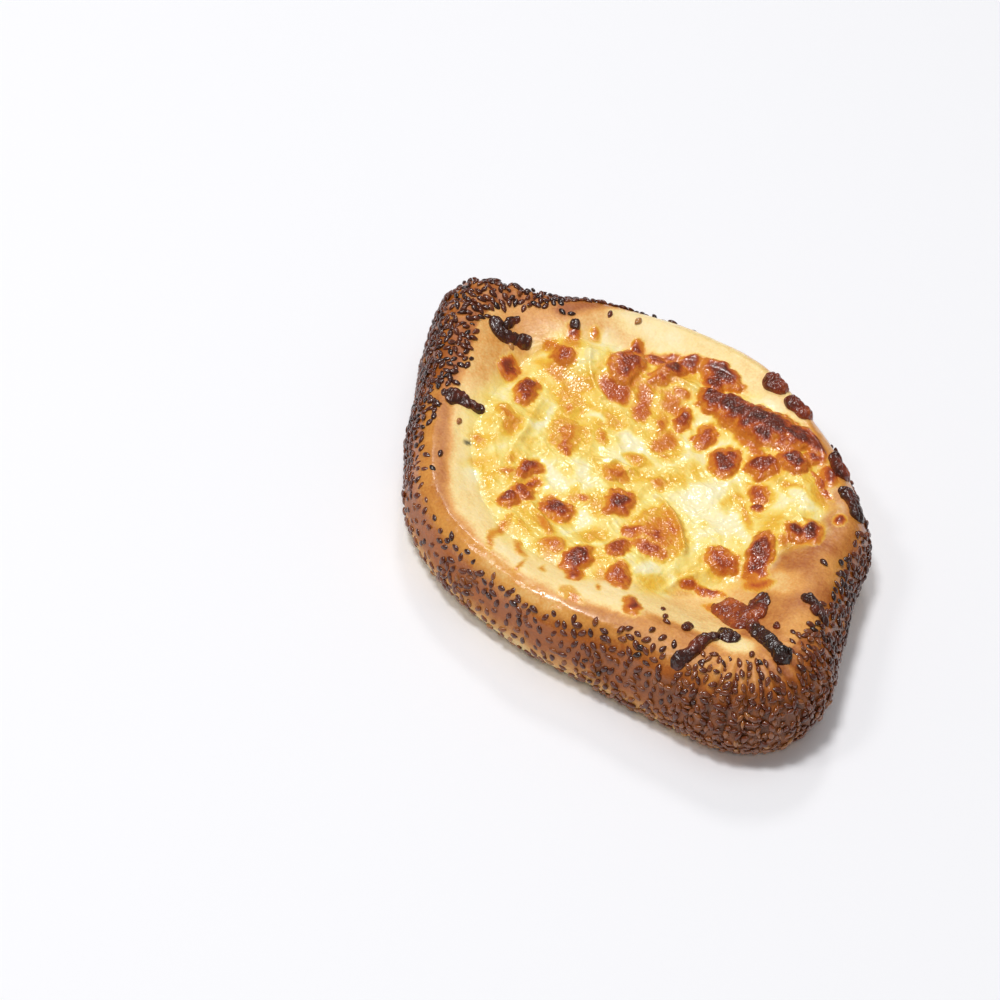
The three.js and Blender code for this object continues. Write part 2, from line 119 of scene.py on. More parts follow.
# By the angle from +X in degrees: how far in from the outline the sesame reaches, how crowded it
# is, and how dark.
SESAME_REACH = [
    (-180, 18, 1, 0.68), (-163, 15, 1, 0.68), (-156, 10.5, 1, 0.68), (-148, 9, 0.95, 0.7),
    (-141, 7, 0.85, 0.7), (-133, 4.8, 0.7, 0.66), (-115, 3.2, 0.56, 0.6), (-90, 2.2, 0.5, 0.58),
    (-65, 2.2, 0.52, 0.6), (-50, 4, 0.6, 0.6), (-40, 7.5, 0.62, 0.58), (-32, 9.5, 0.72, 0.54),
    (-20, 12, 0.95, 0.5), (-8, 13.5, 1, 0.48), (0, 13, 1, 0.5), (7, 8, 0.95, 0.62),
    (16, 5.5, 0.8, 0.7), (24, 5, 0.75, 0.72), (40, 4, 0.65, 0.7), (55, 1.5, 0.5, 0.66),
    (70, 0.3, 0.4, 0.6), (90, 0.2, 0.4, 0.6), (120, 0.6, 0.4, 0.6), (140, 3, 0.65, 0.7),
    (158, 6, 0.9, 0.7), (168, 11, 1, 0.7), (174, 16, 1, 0.7), (180, 18, 1, 0.68),
]

# The sheet of cheese: its gap over the dough, its thickness, how far in it is at its full
# thickness, how deep its edge is sunk, and how far in it has risen from there.
CHEESE_GAP = 0.6
CHEESE_EDGE_THICKNESS = 0.9
CHEESE_MIDDLE_THICKNESS = 3.8
CHEESE_SHOULDER = 16.0
CHEESE_EDGE_SUNK = 0.5
CHEESE_MELT = 9.0
# How high its waves, creases and pimples stand.
CHEESE_WAVE_HEIGHT = 1.8
CREASE_HEIGHT = 0.6
FINE_CREASE_HEIGHT = 0.3
PIMPLE_HEIGHT = 0.14
# Packed bubbles where the cheese browned: height, size and start of the noise.
BUBBLES = [(0.3, 1.5, 71), (0.26, 0.9, 73)]
# The closed underside of the sheet: how deep in the dough it lies, and the size of its rings as
# shares of the sheet's outline.
CHEESE_ROOT = 1.0
UNDER_RINGS = (0.97, 0.75, 0.4)

# By the angle from +X in degrees: how far in from the outline the golden crest reaches, how brown
# it is, and how brown the dough between it and the cheese is.
TOASTING = [
    (0, 30, 0.56, 0.36), (15, 34, 0.62, 0.48), (30, 30, 0.62, 0.46), (45, 17, 0.52, 0.34),
    (60, 14, 0.48, 0.32), (75, 10, 0.42, 0.28), (90, 4, 0.36, 0.24), (120, 2.5, 0.32, 0.2),
    (140, 4, 0.42, 0.22), (150, 7, 0.56, 0.3), (165, 15, 0.6, 0.38), (180, 16, 0.6, 0.42),
    (200, 13, 0.56, 0.34), (215, 10, 0.5, 0.22), (232, 10, 0.5, 0.18), (250, 9, 0.5, 0.17),
    (267, 8, 0.38, 0.2), (282, 7, 0.32, 0.2), (299, 8, 0.34, 0.17), (313, 11, 0.5, 0.12),
    (330, 18, 0.5, 0.24), (345, 24, 0.52, 0.3),
]
# How far the edge of the golden band wanders to and fro, and how far before and past that edge the
# band fades out.
BAND_WOBBLE = 5.0
BAND_FADE = (1.5, 3.0)
# How much browner the band turns along its edge.
BAND_EDGE_BROWN = 0.09
# Places of the dough that are paler or browner than that: centre, length, width, heading in
# degrees, and how toasted. The first, near-cream one on the knob's top is partly painted highlight.
PATCHES = [
    (65, -17, 15, 11, 15, 0.08), (53, 9, 18, 12, 20, 0.3), (50, -22, 24, 12, 35, 0.22),
    (72, 3, 16, 14, 0, 0.42), (-44, 36, 26, 10, 32, 0.08), (-64, 6, 14, 18, 0, 0.44),
    (57, 25, 16, 12, -60, 0.46), (40, -34, 16, 8, 30, 0.14), (8, -50, 22, 4, 5, 0.1),
]

# Baked spots: centre, length, width, heading in degrees, rise, and how brown they are.
SPOTS = [
    (-24, -8, 13, 9, -40, 0.6, 0.42), (-19.5, -11.5, 5, 3.5, -30, 0.4, 0.56),
    (-52.5, -8, 10, 5.5, -45, 1, 0.86), (-42, -9, 12, 6.5, -50, 1.3, 0.74),
    (-36, -20, 7, 5, 0, 0.4, 0.4), (-32, -33, 6, 4, 0, 0.3, 0.38),
    (-17.3, -25.3, 7, 5, -80, 1, 0.7), (-19, -31, 6, 3, 70, 0.3, 0.4),
    (-11, -31.5, 7, 5, -85, 1, 0.68), (-10.6, -37, 6, 5, -80, 0.9, 0.68),
    (-12.5, -27.5, 3, 2, -70, 0.5, 0.6), (-1.5, -26.8, 10, 7.5, 10, 1.2, 0.78),
    (-4.5, -4.5, 7, 6, 20, 0.6, 0.48), (-32, -1, 5, 3, -30, 0.3, 0.4),
    (-18, 0.5, 5, 3, -30, 0.3, 0.42), (-6, 4.5, 6, 4, 30, 0.4, 0.4), (4, 4, 5, 3.5, 40, 0.4, 0.4),
    (5.3, -10.2, 11, 7.5, -70, 1.3, 0.78), (20, -7, 20, 15, -32, 0.9, 0.42),
    (20.3, -8.5, 6, 4, 0, 0.5, 0.6), (15.8, -12.5, 5, 4.5, 60, 0.5, 0.58),
    (23.5, -13.2, 11, 4, 28, 0.5, 0.56), (19, -2.5, 10, 4, -10, 0.4, 0.48),
    (19, -20.8, 9.5, 5, -62, 0.9, 0.68), (28.5, -27, 9, 6.5, -35, 1, 0.64),
    (17.3, -33, 10.5, 6.5, -78, 1.3, 0.8), (21.5, -37.3, 7, 4.5, -35, 0.7, 0.66),
    (10.5, -36.5, 6, 5, 0, 0.5, 0.48), (40.5, -32, 8, 4.6, -38, 0.8, 0.74),
    (7, -45.3, 6, 2.6, -28, 0.3, 0.42), (37.3, -8.7, 4.4, 2, 62, 0.6, 0.66),
    (42.3, -4.8, 7, 2.8, 35, 0.7, 0.62), (35.8, 3, 9.5, 7.5, 25, 1, 0.6),
    (41.5, 11.8, 16, 7, -50, 1.6, 0.78), (45, 9, 7, 4, -10, 0.8, 0.8),
    (43, 28, 10, 6.5, -58, 1.7, 0.86), (40.4, 24.3, 6.5, 5.5, 0, 1.4, 0.78),
    (22.5, 26.2, 7, 4.8, -35, 0.8, 0.62), (26.7, 23.2, 2.4, 2.2, 0, 0.8, 0.84),
    (7.2, 25.2, 10.5, 8, -50, 1.5, 0.78), (15, 32.3, 9.5, 6.8, 25, 1.4, 0.76),
    (19.6, 39.6, 9.5, 7.2, 40, 1.6, 0.82), (21.5, 46.8, 6, 4, 60, 1, 0.68),
    (29, 46.5, 6.5, 6, 0, 1.2, 0.74), (30.5, 42.3, 11, 2, -6, 0.5, 0.62),
    (43.4, 38, 3.6, 2.6, -40, 0.8, 0.84), (-3.6, 26.5, 9.5, 5.5, -60, 0.9, 0.6),
    (-12.5, 25, 9, 5.5, -52, 1.1, 0.72), (-19.3, 30, 4, 3.2, 0, 0.6, 0.5),
    (-27, 27, 6, 5, 70, 0.8, 0.54), (-35.3, 21.5, 14, 9, -70, 1.7, 0.72),
    (-39, 28, 6, 4, -50, 1.1, 0.72), (-28.4, 33, 8.5, 6.5, 80, 1.7, 0.82),
    (-28, 38.7, 6.5, 5.5, 70, 1.3, 0.72), (-33.5, 31, 6, 4, 40, 0.9, 0.7),
    (-32, 35.5, 6, 2.2, 60, 0.5, 0.6), (-47.5, 7, 7.5, 5.5, 0, 1, 0.62),
    (-53, 7.2, 4, 3, 20, 0.5, 0.46), (-52.3, 14.6, 4.5, 3, -30, 0.8, 0.66),
    (-49.3, 19.8, 4, 3, -40, 0.5, 0.48), (-13.8, 18.5, 8, 2.4, -48, 0.3, 0.44),
    (-1.5, -17.5, 1.8, 1.4, 30, 0.2, 0.56), (29.5, -35, 2.4, 1.2, -30, 0.2, 0.44),
    (30, -44.5, 9, 5.5, -15, 0, 0.42), (0.5, -50.5, 14, 2.8, -50, 0, 0.4),
    (-2.5, -45.5, 11, 3, -62, 0, 0.42), (13, -50, 7, 2.2, -60, 0, 0.4),
    (16.5, -44, 3, 1.5, -60, 0, 0.36), (49.5, 6, 7, 4, 20, 0.4, 0.5), (49, -8, 8, 5, 10, 0.3, 0.5),
]

# How far noise moves the spots' edges to and fro, and how far the brown core and the golden ring
# round it fade out past them.
SPOT_BEND = 2.9
SPOT_CORE_FADE = 1.1
SPOT_RING_FADE = 2.4

# The burnt ridge along the far edge of the cheese, as overlapping spots.
RIDGE = [
    (-18.8, 44, 15, 7.5, 16, 2.1, 0.86), (-17.8, 40.4, 6.5, 5.5, 0, 1.6, 0.84),
    (-12.5, 36.3, 10, 7.5, 20, 1.8, 0.82), (-6.5, 38.6, 13, 10.5, 28, 2.3, 0.88),
    (0, 40.8, 13, 12.5, 32, 2.5, 0.9), (5.5, 43.3, 13, 13, 35, 2.6, 0.9),
    (11.5, 47.2, 13, 10.5, 30, 2.4, 0.86), (17.5, 50.4, 11, 7.5, 20, 2, 0.8),
    (7, 38.6, 9, 5, 10, 1.6, 0.84), (13, 43, 10, 7, 40, 0.9, 0.56), (0, 35.8, 12, 4, 12, 0.6, 0.5),
]

# Golden pools between the spots: centre, length, width, heading in degrees, how golden. Those at
# (-31, 13), (-22, 18) and (-8, 14.5) lie along a groove, and their deep gold is partly painted
# shade.
POOLS = [
    (-44, 3, 20, 9, 10, 0.3), (-31, 13, 17, 8, 12, 0.46), (-22, 18, 18, 9, -48, 0.44),
    (-8, 14.5, 15, 12, -45, 0.38), (-18, 25, 14, 9, 0, 0.36), (-24, -8, 20, 15, -30, 0.28),
    (-33, -21, 15, 9, -55, 0.3), (-32, -31, 12, 8, 60, 0.22), (3, -16, 16, 11, 0, 0.26),
    (1, -33.5, 22, 6, -12, 0.32), (12, -24, 8, 14, 0, 0.26), (20, -8, 24, 19, -32, 0.3),
    (13, -40, 18, 8, -8, 0.3), (0, -40, 14, 6, 0, 0.26), (8, 34.5, 28, 5, 4, 0.38),
    (27, 34.5, 15, 6, 12, 0.3), (26, 19, 20, 5, -22, 0.28), (42, 20, 9, 7, 0, 0.34),
    (33, 40, 16, 7, -20, 0.28), (38.5, -12, 12, 4, 62, 0.28), (-50, 12, 12, 9, 0, 0.3),
    (-38, 6, 12, 6, 10, 0.22), (7, 16, 12, 6, -20, 0.22), (-10, -16, 8, 5, 0, 0.18),
    (34, -20, 8, 14, 0, 0.24), (-26, 33, 18, 12, 40, 0.3), (26, -31, 16, 9, -35, 0.28),
    (-16, -29, 15, 13, -80, 0.24), (5, -10, 15, 12, -70, 0.28), (-1.5, -27, 15, 12, 10, 0.28),
    (22, 26, 14, 10, -35, 0.28), (36, 3, 14, 11, 25, 0.26), (-35, 22, 20, 15, -70, 0.36),
]
# Patches that stay pale and creamy: partly the cheese's own cream, partly painted highlight.
CREAM_AND_HIGHLIGHTS = [
    (18, 12, 26, 13, -5), (-12, 7.5, 18, 6, 5), (-9, -13, 14, 9, -20), (-31, -9, 20, 4, -62),
    (-14, -20.5, 16, 4, 5), (5, -22, 6, 5, 0), (29, -17, 5, 11, 10), (30, 34.5, 9, 4, 10),
    (-25, 4, 14, 4, 20), (-22, -42, 16, 8, -15), (-42, 24, 6, 7, 0),
]
# Stretched ridges of cheese: start, bend, end, width and height.
STRANDS = [
    ((8, 0.5), (17, 3), (29, -5), 0.8, 1.5), ((-6, -32.5), (0, -31.5), (5, -34), 0.8, 0.8),
    ((-8, -42), (-14, -40), (-17, -49), 0.9, 0.7), ((-37, -8), (-31, -16), (-27, -22), 1.3, 0.8),
    ((36, -6), (34, -14), (38, -21), 0.8, 0.9), ((-14, 37), (-22, 33), (-30, 29), 0.8, 0.8),
    ((36, 19), (36, 12), (40, 7), 1, 0.8), ((3, 36.5), (12, 37.2), (22, 33), 0.9, 0.8),
    ((-12, -7), (-9, -1), (-2, 1), 0.7, 0.8), ((-44, 14), (-38, 9), (-30, 9), 0.8, 0.8),
]
# How far the edge of the cheese's colour wanders to and fro on the dough, and how far inside the
# cheese's edge it begins and is full.
FILM_WOBBLE = 9.0
FILM_EDGE = (-2.5, 5.5)
# The middle of a speck of pepper at the cheese's edge.
SPECK = (-32.6, -36.3)

# Burnt strips of cheese on the dough: each node is one or more strips of (points, width,
# thickness), a place where it is reddest, and how charred it is there.
SHREDS = {
    "shred_back_hook": ([
        ([(-67.5, -1.5), (-66, -3.8), (-62.3, -3.8), (-60, -0.3), (-56.5, 2.8)], 4.4, 2),
        ([(-64, -2.5), (-65, 1), (-65, 4)], 2.6, 1.5)], (-57, 3), 0.50),
    "shred_left_oval": ([
        ([(-50, -32.6), (-47.5, -30.8), (-45, -29)], 6.2, 2),
        ([(-48, -31), (-45, -29), (-42.5, -27.4)], 4.9, 1.9),
        ([(-45.5, -29), (-42, -26.8), (-39.6, -25.4)], 3, 1.5)], (-40, -26), 0.46),
    "shred_far_edge": ([([(-12, 53.8), (-8.5, 54.8), (-4, 56.4)], 6.4, 2.5)], (-9, 54), 0.22),
    "shred_far_corner": ([([(-2.5, 54.2), (2.5, 55.8), (7.5, 55.6)], 6.2, 2.5)], (2, 55), 0.30),
    "shred_right_lump": ([([(22, 53.6), (27, 51.2), (31.5, 50.2)], 6, 2.6)], (29, 51), 0.40),
    "shred_right_strip": ([([(33.5, 46.2), (40, 46.2), (45.5, 43.2)], 5.2, 2.3)], (35, 46), 0.50),
    "shred_front_right": ([
        ([(61.7, 9.6), (65.2, 11.2), (69, 11), (72.6, 11)], 3, 1.9),
        ([(66, 10.4), (69.5, 9.2)], 2.6, 1.5)], (66, 10), 0.60),
    "shred_front_star": ([
        ([(46.5, -5), (52, -4.2), (58, -5.6), (64, -7.6), (72, -8.8), (80, -8.8)], 5, 2.2),
        ([(60, -6), (57, -1), (53, 3.6)], 6, 1.8),
        ([(62, -9), (56, -8.5), (50, -7), (46, -6.5)], 5.6, 1.6)], (54, -7), 0.10),
    "shred_front_strip": ([
        ([(66, -17), (62.5, -16), (59, -16)], 5.8, 2.1),
        ([(61.5, -17.5), (61, -23), (62.8, -29), (62, -34.5)], 4.2, 2)], (62, -25), 0.50),
    "shred_crumb_near": ([
        ([(55.6, -26), (54.5, -23.5), (53.6, -21.5)], 2.6, 1.4)], (54, -23), 0.45),
    "shred_crumb_back": ([
        ([(-55.5, 17.6), (-54.2, 16), (-52.6, 15.4)], 2.6, 1.5)], (-52, 14), 0.55),
    "shred_crumb_front": ([
        ([(65.8, -2.2), (68, -3.4)], 2.2, 1.4)], (66, -2), 0.45),
}
# How deep a shred is sunk, how finely its strips are fused, how high its lumps and bubbles stand,
# how charred it is away from its reddest place, and how far from there that begins and is full.
SHRED_BURIED = 1.2
SHRED_VOXEL = 0.26
SHRED_LUMP_HEIGHT = 1.5
SHRED_BUBBLE_HEIGHT = 0.55
SHRED_CHARRED = 0.85
SHRED_CHARRING = (3, 16)

# Single seeds beside the crowded zones: place, heading in degrees, and how dark.
STRAY_SEEDS = [
    (-55.6, -21, -60, 0.75), (-53.8, -28, -20, 0.85), (-53.4, -32.2, -35, 0.95),
    (-50.3, -32.6, -40, 0.8), (-47.6, -36.5, 0, 0.85), (-31.8, -46, -45, 0.8), (-28.2, -50.8, 5, 1),
    (-8.6, -61, 20, 0.8), (20.6, -55, 15, 0.7), (54.9, 23, 0, 0.8), (55.2, 31.4, 80, 0.85),
    (71.6, -0.9, 0, 0.75), (45.2, -24.7, -55, 0.6), (48.6, -26.8, -60, 0.55), (51, -28.2, 10, 0.6),
    (-52.8, 27.4, -50, 0.6), (72.4, -15.8, -50, 0.6), (67, -27.8, 60, 0.75), (70.8, -24.2, 20, 0.8),
    (75.6, -15.6, 10, 0.95), (-59.8, 15.2, 10, 0.95), (-57.9, 17.2, 60, 0.9),
    (53.4, -37.6, 20, 0.9), (44.6, -43.2, 25, 0.75), (-66.2, 9.8, 20, 1), (-67.6, 12.2, 50, 0.95),
    (-65.4, 13.4, -30, 1), (-64.8, 15.6, 70, 0.9),
]
PALE_STRAYS = [(-58.8, -3, 0, 0.1), (-47.2, 33.6, -70, 0.12), (-39.6, -34.4, -55, 0.2)]

# The draw of the scattered seeds: how many places are tried, the climbs that they lie between, and
# the cells that sort them, which are wider than the widest spacing.
SEED_TRIES = 90000
SEED_CLIMBS = (0.12, 2.6)
SEED_CELL = 3.5
# How far the seeds stay clear of the cheese and of the burnt shreds.
CHEESE_CLEARANCE = 2.0
SHRED_CLEARANCE = 0.6
# The tone under which a seed is a pale one, and the share of the others that is pale too.
PALE_TONE = 0.2
PALE_SHARE = 0.01
# How a seed lies: the height of its middle over the crust, its least height over the floor, how
# much deeper it sits on the near wall, and where that begins and is full along -Y.
SEED_HEIGHT = 0.28
SEED_FLOOR_GAP = 0.05
NEAR_WALL_SUNK = 0.3
NEAR_WALL = (44, 52)
# How much the seeds differ. The heading is that of the seeds between the folds, in radians.
SEED_SPREAD = {"height": 0.14, "tilt": 0.16, "roll": 0.2, "size": 0.08, "tone": 0.12,
               "heading": 0.35}
# The small steps of angle and climb that give the crust's directions.
TURN_STEP = 0.012
CLIMB_STEP = 0.048


# ---- Shapes as functions -----------------------------------------------------------------------

def lerp(a, b, t):
    """From a to b by the share t."""
    return a + (b - a) * t


def smoothstep(value, low, high):
    """0 below low, 1 above high, and the cubic 3t^2 - 2t^3 between. low may be the larger one."""
    t = np.clip((value - low) / (high - low), 0, 1)
    return t * t * (3 - 2 * t)


def lattice(ix, iy, iz, seed):
    """A repeatable number from 0 to 1 for each whole-number point: multiply, add, mix the bits."""
    ix, iy, iz = (np.asarray(i).astype(np.int64) for i in (ix, iy, iz))
    bits = (ix * 374761393 + iy * 668265263 + iz * 1442695041 + seed * 1274126177) & 0xFFFFFFFF
    bits = ((bits ^ (bits >> 13)) * 1274126177) & 0xFFFFFFFF
    return ((bits ^ (bits >> 16)) & 0xFFFFFF) / 0xFFFFFF


def noise(x, y, z, scale, seed):
    """Value noise from 0 to 1: random numbers at whole points, blended smoothly between them."""
    px, py, pz = np.broadcast_arrays(x / scale, y / scale, np.asarray(z) / scale)
    bx, by, bz = np.floor(px), np.floor(py), np.floor(pz)
    tx, ty, tz = (smoothstep(p - b, 0, 1) for p, b in ((px, bx), (py, by), (pz, bz)))
    total = 0
    for i in (0, 1):
        for j in (0, 1):
            for k in (0, 1):
                weight = (tx if i else 1 - tx) * (ty if j else 1 - ty) * (tz if k else 1 - tz)
                total = total + weight * lattice(bx + i, by + j, bz + k, seed)
    return total


def fractal(x, y, z, scale, octaves, seed):
    """Noise summed over octaves, each half the size and half the height of the one before."""
    parts = [noise(x, y, z, scale / 2 ** i, seed + i) / 2 ** i for i in range(octaves)]
    return sum(parts) / sum(1 / 2 ** i for i in range(octaves))


def bubbles(x, y, size, seed):
    """Domes packed side by side: one random centre in each square cell, and the half circle
    sqrt(1 - d^2) of the distance d to the nearest centre, in units of two thirds of a cell."""
    cx, cy = np.floor(x / size), np.floor(y / size)
    nearest = np.full(np.shape(x), np.inf)
    for i in (-1, 0, 1):
        for j in (-1, 0, 1):
            dx = (cx + i + lattice(cx + i, cy + j, 0, seed)) * size - x
            dy = (cy + j + lattice(cx + i, cy + j, 1, seed)) * size - y
            nearest = np.minimum(nearest, np.hypot(dx, dy))
    return np.sqrt(np.clip(1 - (nearest / (0.66 * size)) ** 2, 0, 1))


def edge_radius(outline, samples=60):
    """Distance from the origin to a closed Catmull-Rom curve, as a function of the angle."""
    p1 = np.array(outline, float)[:, None]
    p0, p2, p3 = (np.roll(p1, shift, 0) for shift in (1, -1, -2))
    t = np.linspace(0, 1, samples, endpoint=False)[None, :, None]
    cubic = (2 * p1 + (p2 - p0) * t + (2 * p0 - 5 * p1 + 4 * p2 - p3) * t ** 2
             + (3 * p1 - p0 - 3 * p2 + p3) * t ** 3) / 2
    x, y = cubic.reshape(-1, 2).T
    angle, radius = np.arctan2(y, x), np.hypot(x, y)
    return lambda a: np.interp(a, angle[np.argsort(angle)], radius[np.argsort(angle)],
                               period=2 * math.pi)


bread_radius = edge_radius(BREAD_OUTLINE)
cheese_radius = edge_radius(CHEESE_OUTLINE)


def inset_from(edge, x, y):
    """How far inside an edge a point lies, seen from above."""
    return edge(np.arctan2(y, x)) - np.hypot(x, y)


def round_the_rim(table, angle):
    """The columns of a table by angle, each joined by straight steps."""
    places, *columns = np.array(table, float).T
    return [np.interp(np.degrees(angle), places, column, period=360) for column in columns]


def rim_at(angle):
    """Crest height, roll width and slope reach: the side's, turning into an end's close to it."""
    front = np.clip(np.cos(angle - FRONT_HEADING), 0, 1) ** END_SHARPNESS
    back = np.clip(-np.cos(angle), 0, 1) ** END_SHARPNESS
    return [side + (f - side) * front + (b - side) * back
            for side, f, b in zip(RIM_SIDE, RIM_FRONT, RIM_BACK)]


def fold_fan(fold, x, y, z):
    """How strongly a fan of folds shows at a point, and its ripple: 2 sqrt|cos(half a turn for
    each fold)| - 1, so that the ridges are round and the furrows sharp."""
    heading = math.radians(fold["heading"])
    dx, dy = x - fold["x"], y - fold["y"]
    ahead = dx * math.cos(heading) + dy * math.sin(heading)
    aside = dy * math.cos(heading) - dx * math.sin(heading)
    distance = np.hypot(ahead, aside)
    shown = (smoothstep(distance, fold["start"], fold["full"])
             * smoothstep(ahead / (distance + 1e-6), 0.1, 0.6)
             * smoothstep(z, FOLD_FOOT, WIDEST_HEIGHT))
    turn = math.pi * np.arctan2(aside, ahead) / math.radians(fold["pitch"])
    return shown, 2 * np.sqrt(np.abs(np.cos(turn))) - 1


def relief_push(x, y, z, inset, roll):
    """The lumps and folds of the wall together, fading out down the inner slope."""
    wave = np.sin(x / 6.3 + 1.1) * np.sin(y / 5.4 + 0.6) + 0.7 * np.sin((x + y) / 8.7 + z / 4.1)
    push = LUMP_HEIGHT * wave * smoothstep(z, 0.5, 6)
    for fold in FOLDS:
        shown, ripple = fold_fan(fold, x, y, z)
        push = push + fold["depth"] * shown * ripple
    return push * (1 - smoothstep(inset, roll, roll + RELIEF_FADE))


def crust_point(angle, climb):
    """The crust at an angle and a climb: -1 the middle of the underside, 0 its edge, 1 the widest
    height, 2 the crest, 3 the foot of the inner slope and 4 the middle of the dish. The wall is a
    quarter ellipse below and one above the widest height, pushed out by the relief."""
    rim = bread_radius(angle)
    crest, roll, slope = rim_at(angle)
    low = np.clip(climb, 0, 1) * math.pi / 2
    high = np.clip(climb - 1, 0, 1) * math.pi / 2
    inner = np.clip(climb - 2, 0, 1)
    out = (rim - UNDERSIDE_ROUND * (1 - np.sin(low)) - roll * (1 - np.cos(high))
           - inner * (slope - roll))
    out = out * (1 + np.clip(climb, -1, 0)) * (1 - np.clip(climb - 3, 0, 1))
    z = (WIDEST_HEIGHT * (1 - np.cos(low)) + (crest - WIDEST_HEIGHT) * np.sin(high)
         + (DISH_FLOOR - crest) * smoothstep(inner, 0, 1))
    lean_out, lean_up = np.sin(low) * np.cos(high), np.where(climb <= 1, -np.cos(low), np.sin(high))
    x, y = out * np.cos(angle), out * np.sin(angle)
    push = relief_push(x, y, z, rim - out, roll) + fine_relief(x, y, z, rim - out)
    uncovered = smoothstep(out - cheese_radius(angle), -3.0, -0.5) * (climb > 2)
    risen = baked_spots(x, y)[1] * uncovered
    out = out + lean_out * push
    z = (z + np.clip(lean_up, 0, 1) * push + risen
         + underside_relief(x, y) * smoothstep(-climb, -0.3, 0))
    return out * np.cos(angle), out * np.sin(angle), z


def fine_relief(x, y, z, inset):
    """Small dents of the skin with stretched streaks round the rim, ragged along the foot."""
    angle = np.arctan2(y, x)
    skin = (DENT_HEIGHT * (fractal(x, y, z, 7.0, 3, 11) - 0.5)
            + FINE_DENT_HEIGHT * (noise(x, y, z, 1.9, 15) - 0.5))
    streaks = fractal(12 * angle, inset, 0.6 * z, 1.6, 2, 17) - 0.5
    skin = skin + STREAK_HEIGHT * streaks * smoothstep(np.abs(angle), 3.1, 2.8)
    ragged = (RAGGED_FOOT_HEIGHT * (fractal(x, y, z, 2.6, 2, 21) - 0.55)
              * (1 - smoothstep(z, 1.0, 5.0)))
    return (skin + ragged) * (1 - smoothstep(inset, 30, 46)) * smoothstep(inset + 9, 0, 2)


def underside_relief(x, y):
    """Shallow hollows of the flat baked underside, never below the surface it rests on."""
    return UNDERSIDE_HOLLOW * np.clip(fractal(x, y, 0, 9.0, 3, 31) - 0.42, 0, 1)


def dough_height_at(x, y):
    """Height of the dough under a point seen from above."""
    inset = inset_from(bread_radius, x, y)
    crest, roll, slope = rim_at(np.arctan2(y, x))
    rise = np.sqrt(np.clip(1 - np.clip((roll - inset) / roll, 0, 1) ** 2, 0, 1))
    z = np.where(inset < roll, WIDEST_HEIGHT + (crest - WIDEST_HEIGHT) * rise,
                 lerp(crest, DISH_FLOOR, smoothstep(inset, roll, slope)))
    return z + relief_push(x, y, z, inset, roll) + fine_relief(x, y, z, inset)


def spot_distance(x, y, spot):
    """Distance from a spot's centre in units of its half length and half width."""
    turn = math.radians(spot[4])
    dx, dy = x - spot[0], y - spot[1]
    along = dx * math.cos(turn) + dy * math.sin(turn)
    across = dy * math.cos(turn) - dx * math.sin(turn)
    return np.hypot(along / (spot[2] / 2), across / (spot[3] / 2))


def strand_height(x, y, strand):
    """A rounded ridge along a quadratic curve through start and end, bent towards its middle."""
    start, bend, end, width, height = strand
    t = np.linspace(0, 1, 24)[:, None]
    line = ((1 - t) ** 2 * np.array(start) + 2 * t * (1 - t) * np.array(bend)
            + t ** 2 * np.array(end))
    nearest = np.full(np.shape(x), np.inf)
    for px, py in line:
        nearest = np.minimum(nearest, np.hypot(x - px, y - py))
    return height * np.exp(-(nearest / width) ** 2)


def bent(x, y):
    """Points moved up to a millimetre and a half by noise, so that round spots turn lumpy."""
    return (x + SPOT_BEND * (fractal(x, y, 0, 3.6, 3, 41) - 0.5),
            y + SPOT_BEND * (fractal(x, y, 0, 3.6, 3, 45) - 0.5))


def baked_spots(x, y):
    """How brown the baked spots are at a point and how far they have risen. Each is an ellipse
    with a lumpy edge: brown fading out over its edge, with a golden ring round it, and a dome."""
    bend_x, bend_y = bent(x, y)
    ragged = 0.06 - 0.12 * bubbles(x, y, 2.2, 49)
    bake, rise = np.zeros(np.shape(x)), np.zeros(np.shape(x))
    for spot in SPOTS + RIDGE:
        near = spot_distance(bend_x, bend_y, spot) + ragged
        size = (spot[2] + spot[3]) / 4
        ring = 1 - smoothstep(near, 0.9, 1 + SPOT_RING_FADE / size)
        core = 1 - smoothstep(near, 0.35, 1.03 + SPOT_CORE_FADE / size)
        brown = np.maximum(min(0.45, 0.78 * spot[6]) * ring, 0.97 * spot[6] * core)
        bake = np.maximum(bake, brown)
        rise = np.maximum(rise, spot[5] * np.sqrt(np.clip(1.1 - near ** 2, 0, 1)))
    mottle = fractal(x, y, 0, 1.5, 2, 50) - 0.5
    return bake + 0.34 * mottle * smoothstep(bake, 0.3, 0.6), rise


def cheese_bake(x, y):
    """How baked the cheese is at a point, from 0 pale to 1 burnt, and how far it has risen:
    streaks, golden pools (some partly painted shade of a groove) and cream patches (partly
    painted highlight) with soft edges, and the baked spots."""
    bend_x, bend_y = bent(x, y)
    streaky = fractal(x + 3 * noise(x, y, 0, 8.0, 57), y, 0, 7.0, 4, 53) - 0.5
    inside = inset_from(cheese_radius, x, y)
    bake = lerp(0.07, 0.145, smoothstep(inside, -2, 9)) + 0.6 * np.clip(streaky, -0.16, 0.3)
    # Partly painted shade: the pools along the groove from (-31, 13) to (-8, 14.5) are deep gold
    # where shade lies.
    for pool in POOLS:
        near = spot_distance(bend_x, bend_y, pool + (0,)) + 0.9 * streaky
        bake = np.maximum(bake, 1.22 * pool[5] * (1 - smoothstep(near, 0.2, 1.4)))
    # Painted highlight in part: these patches pale the cheese where its wet top catches the light.
    for patch in CREAM_AND_HIGHLIGHTS:
        near = spot_distance(bend_x, bend_y, patch) + 1.2 * streaky
        bake = bake * (1 - 0.9 * (1 - smoothstep(near, 0.3, 1.2)))
    spots, rise = baked_spots(x, y)
    return np.maximum(bake, spots), rise


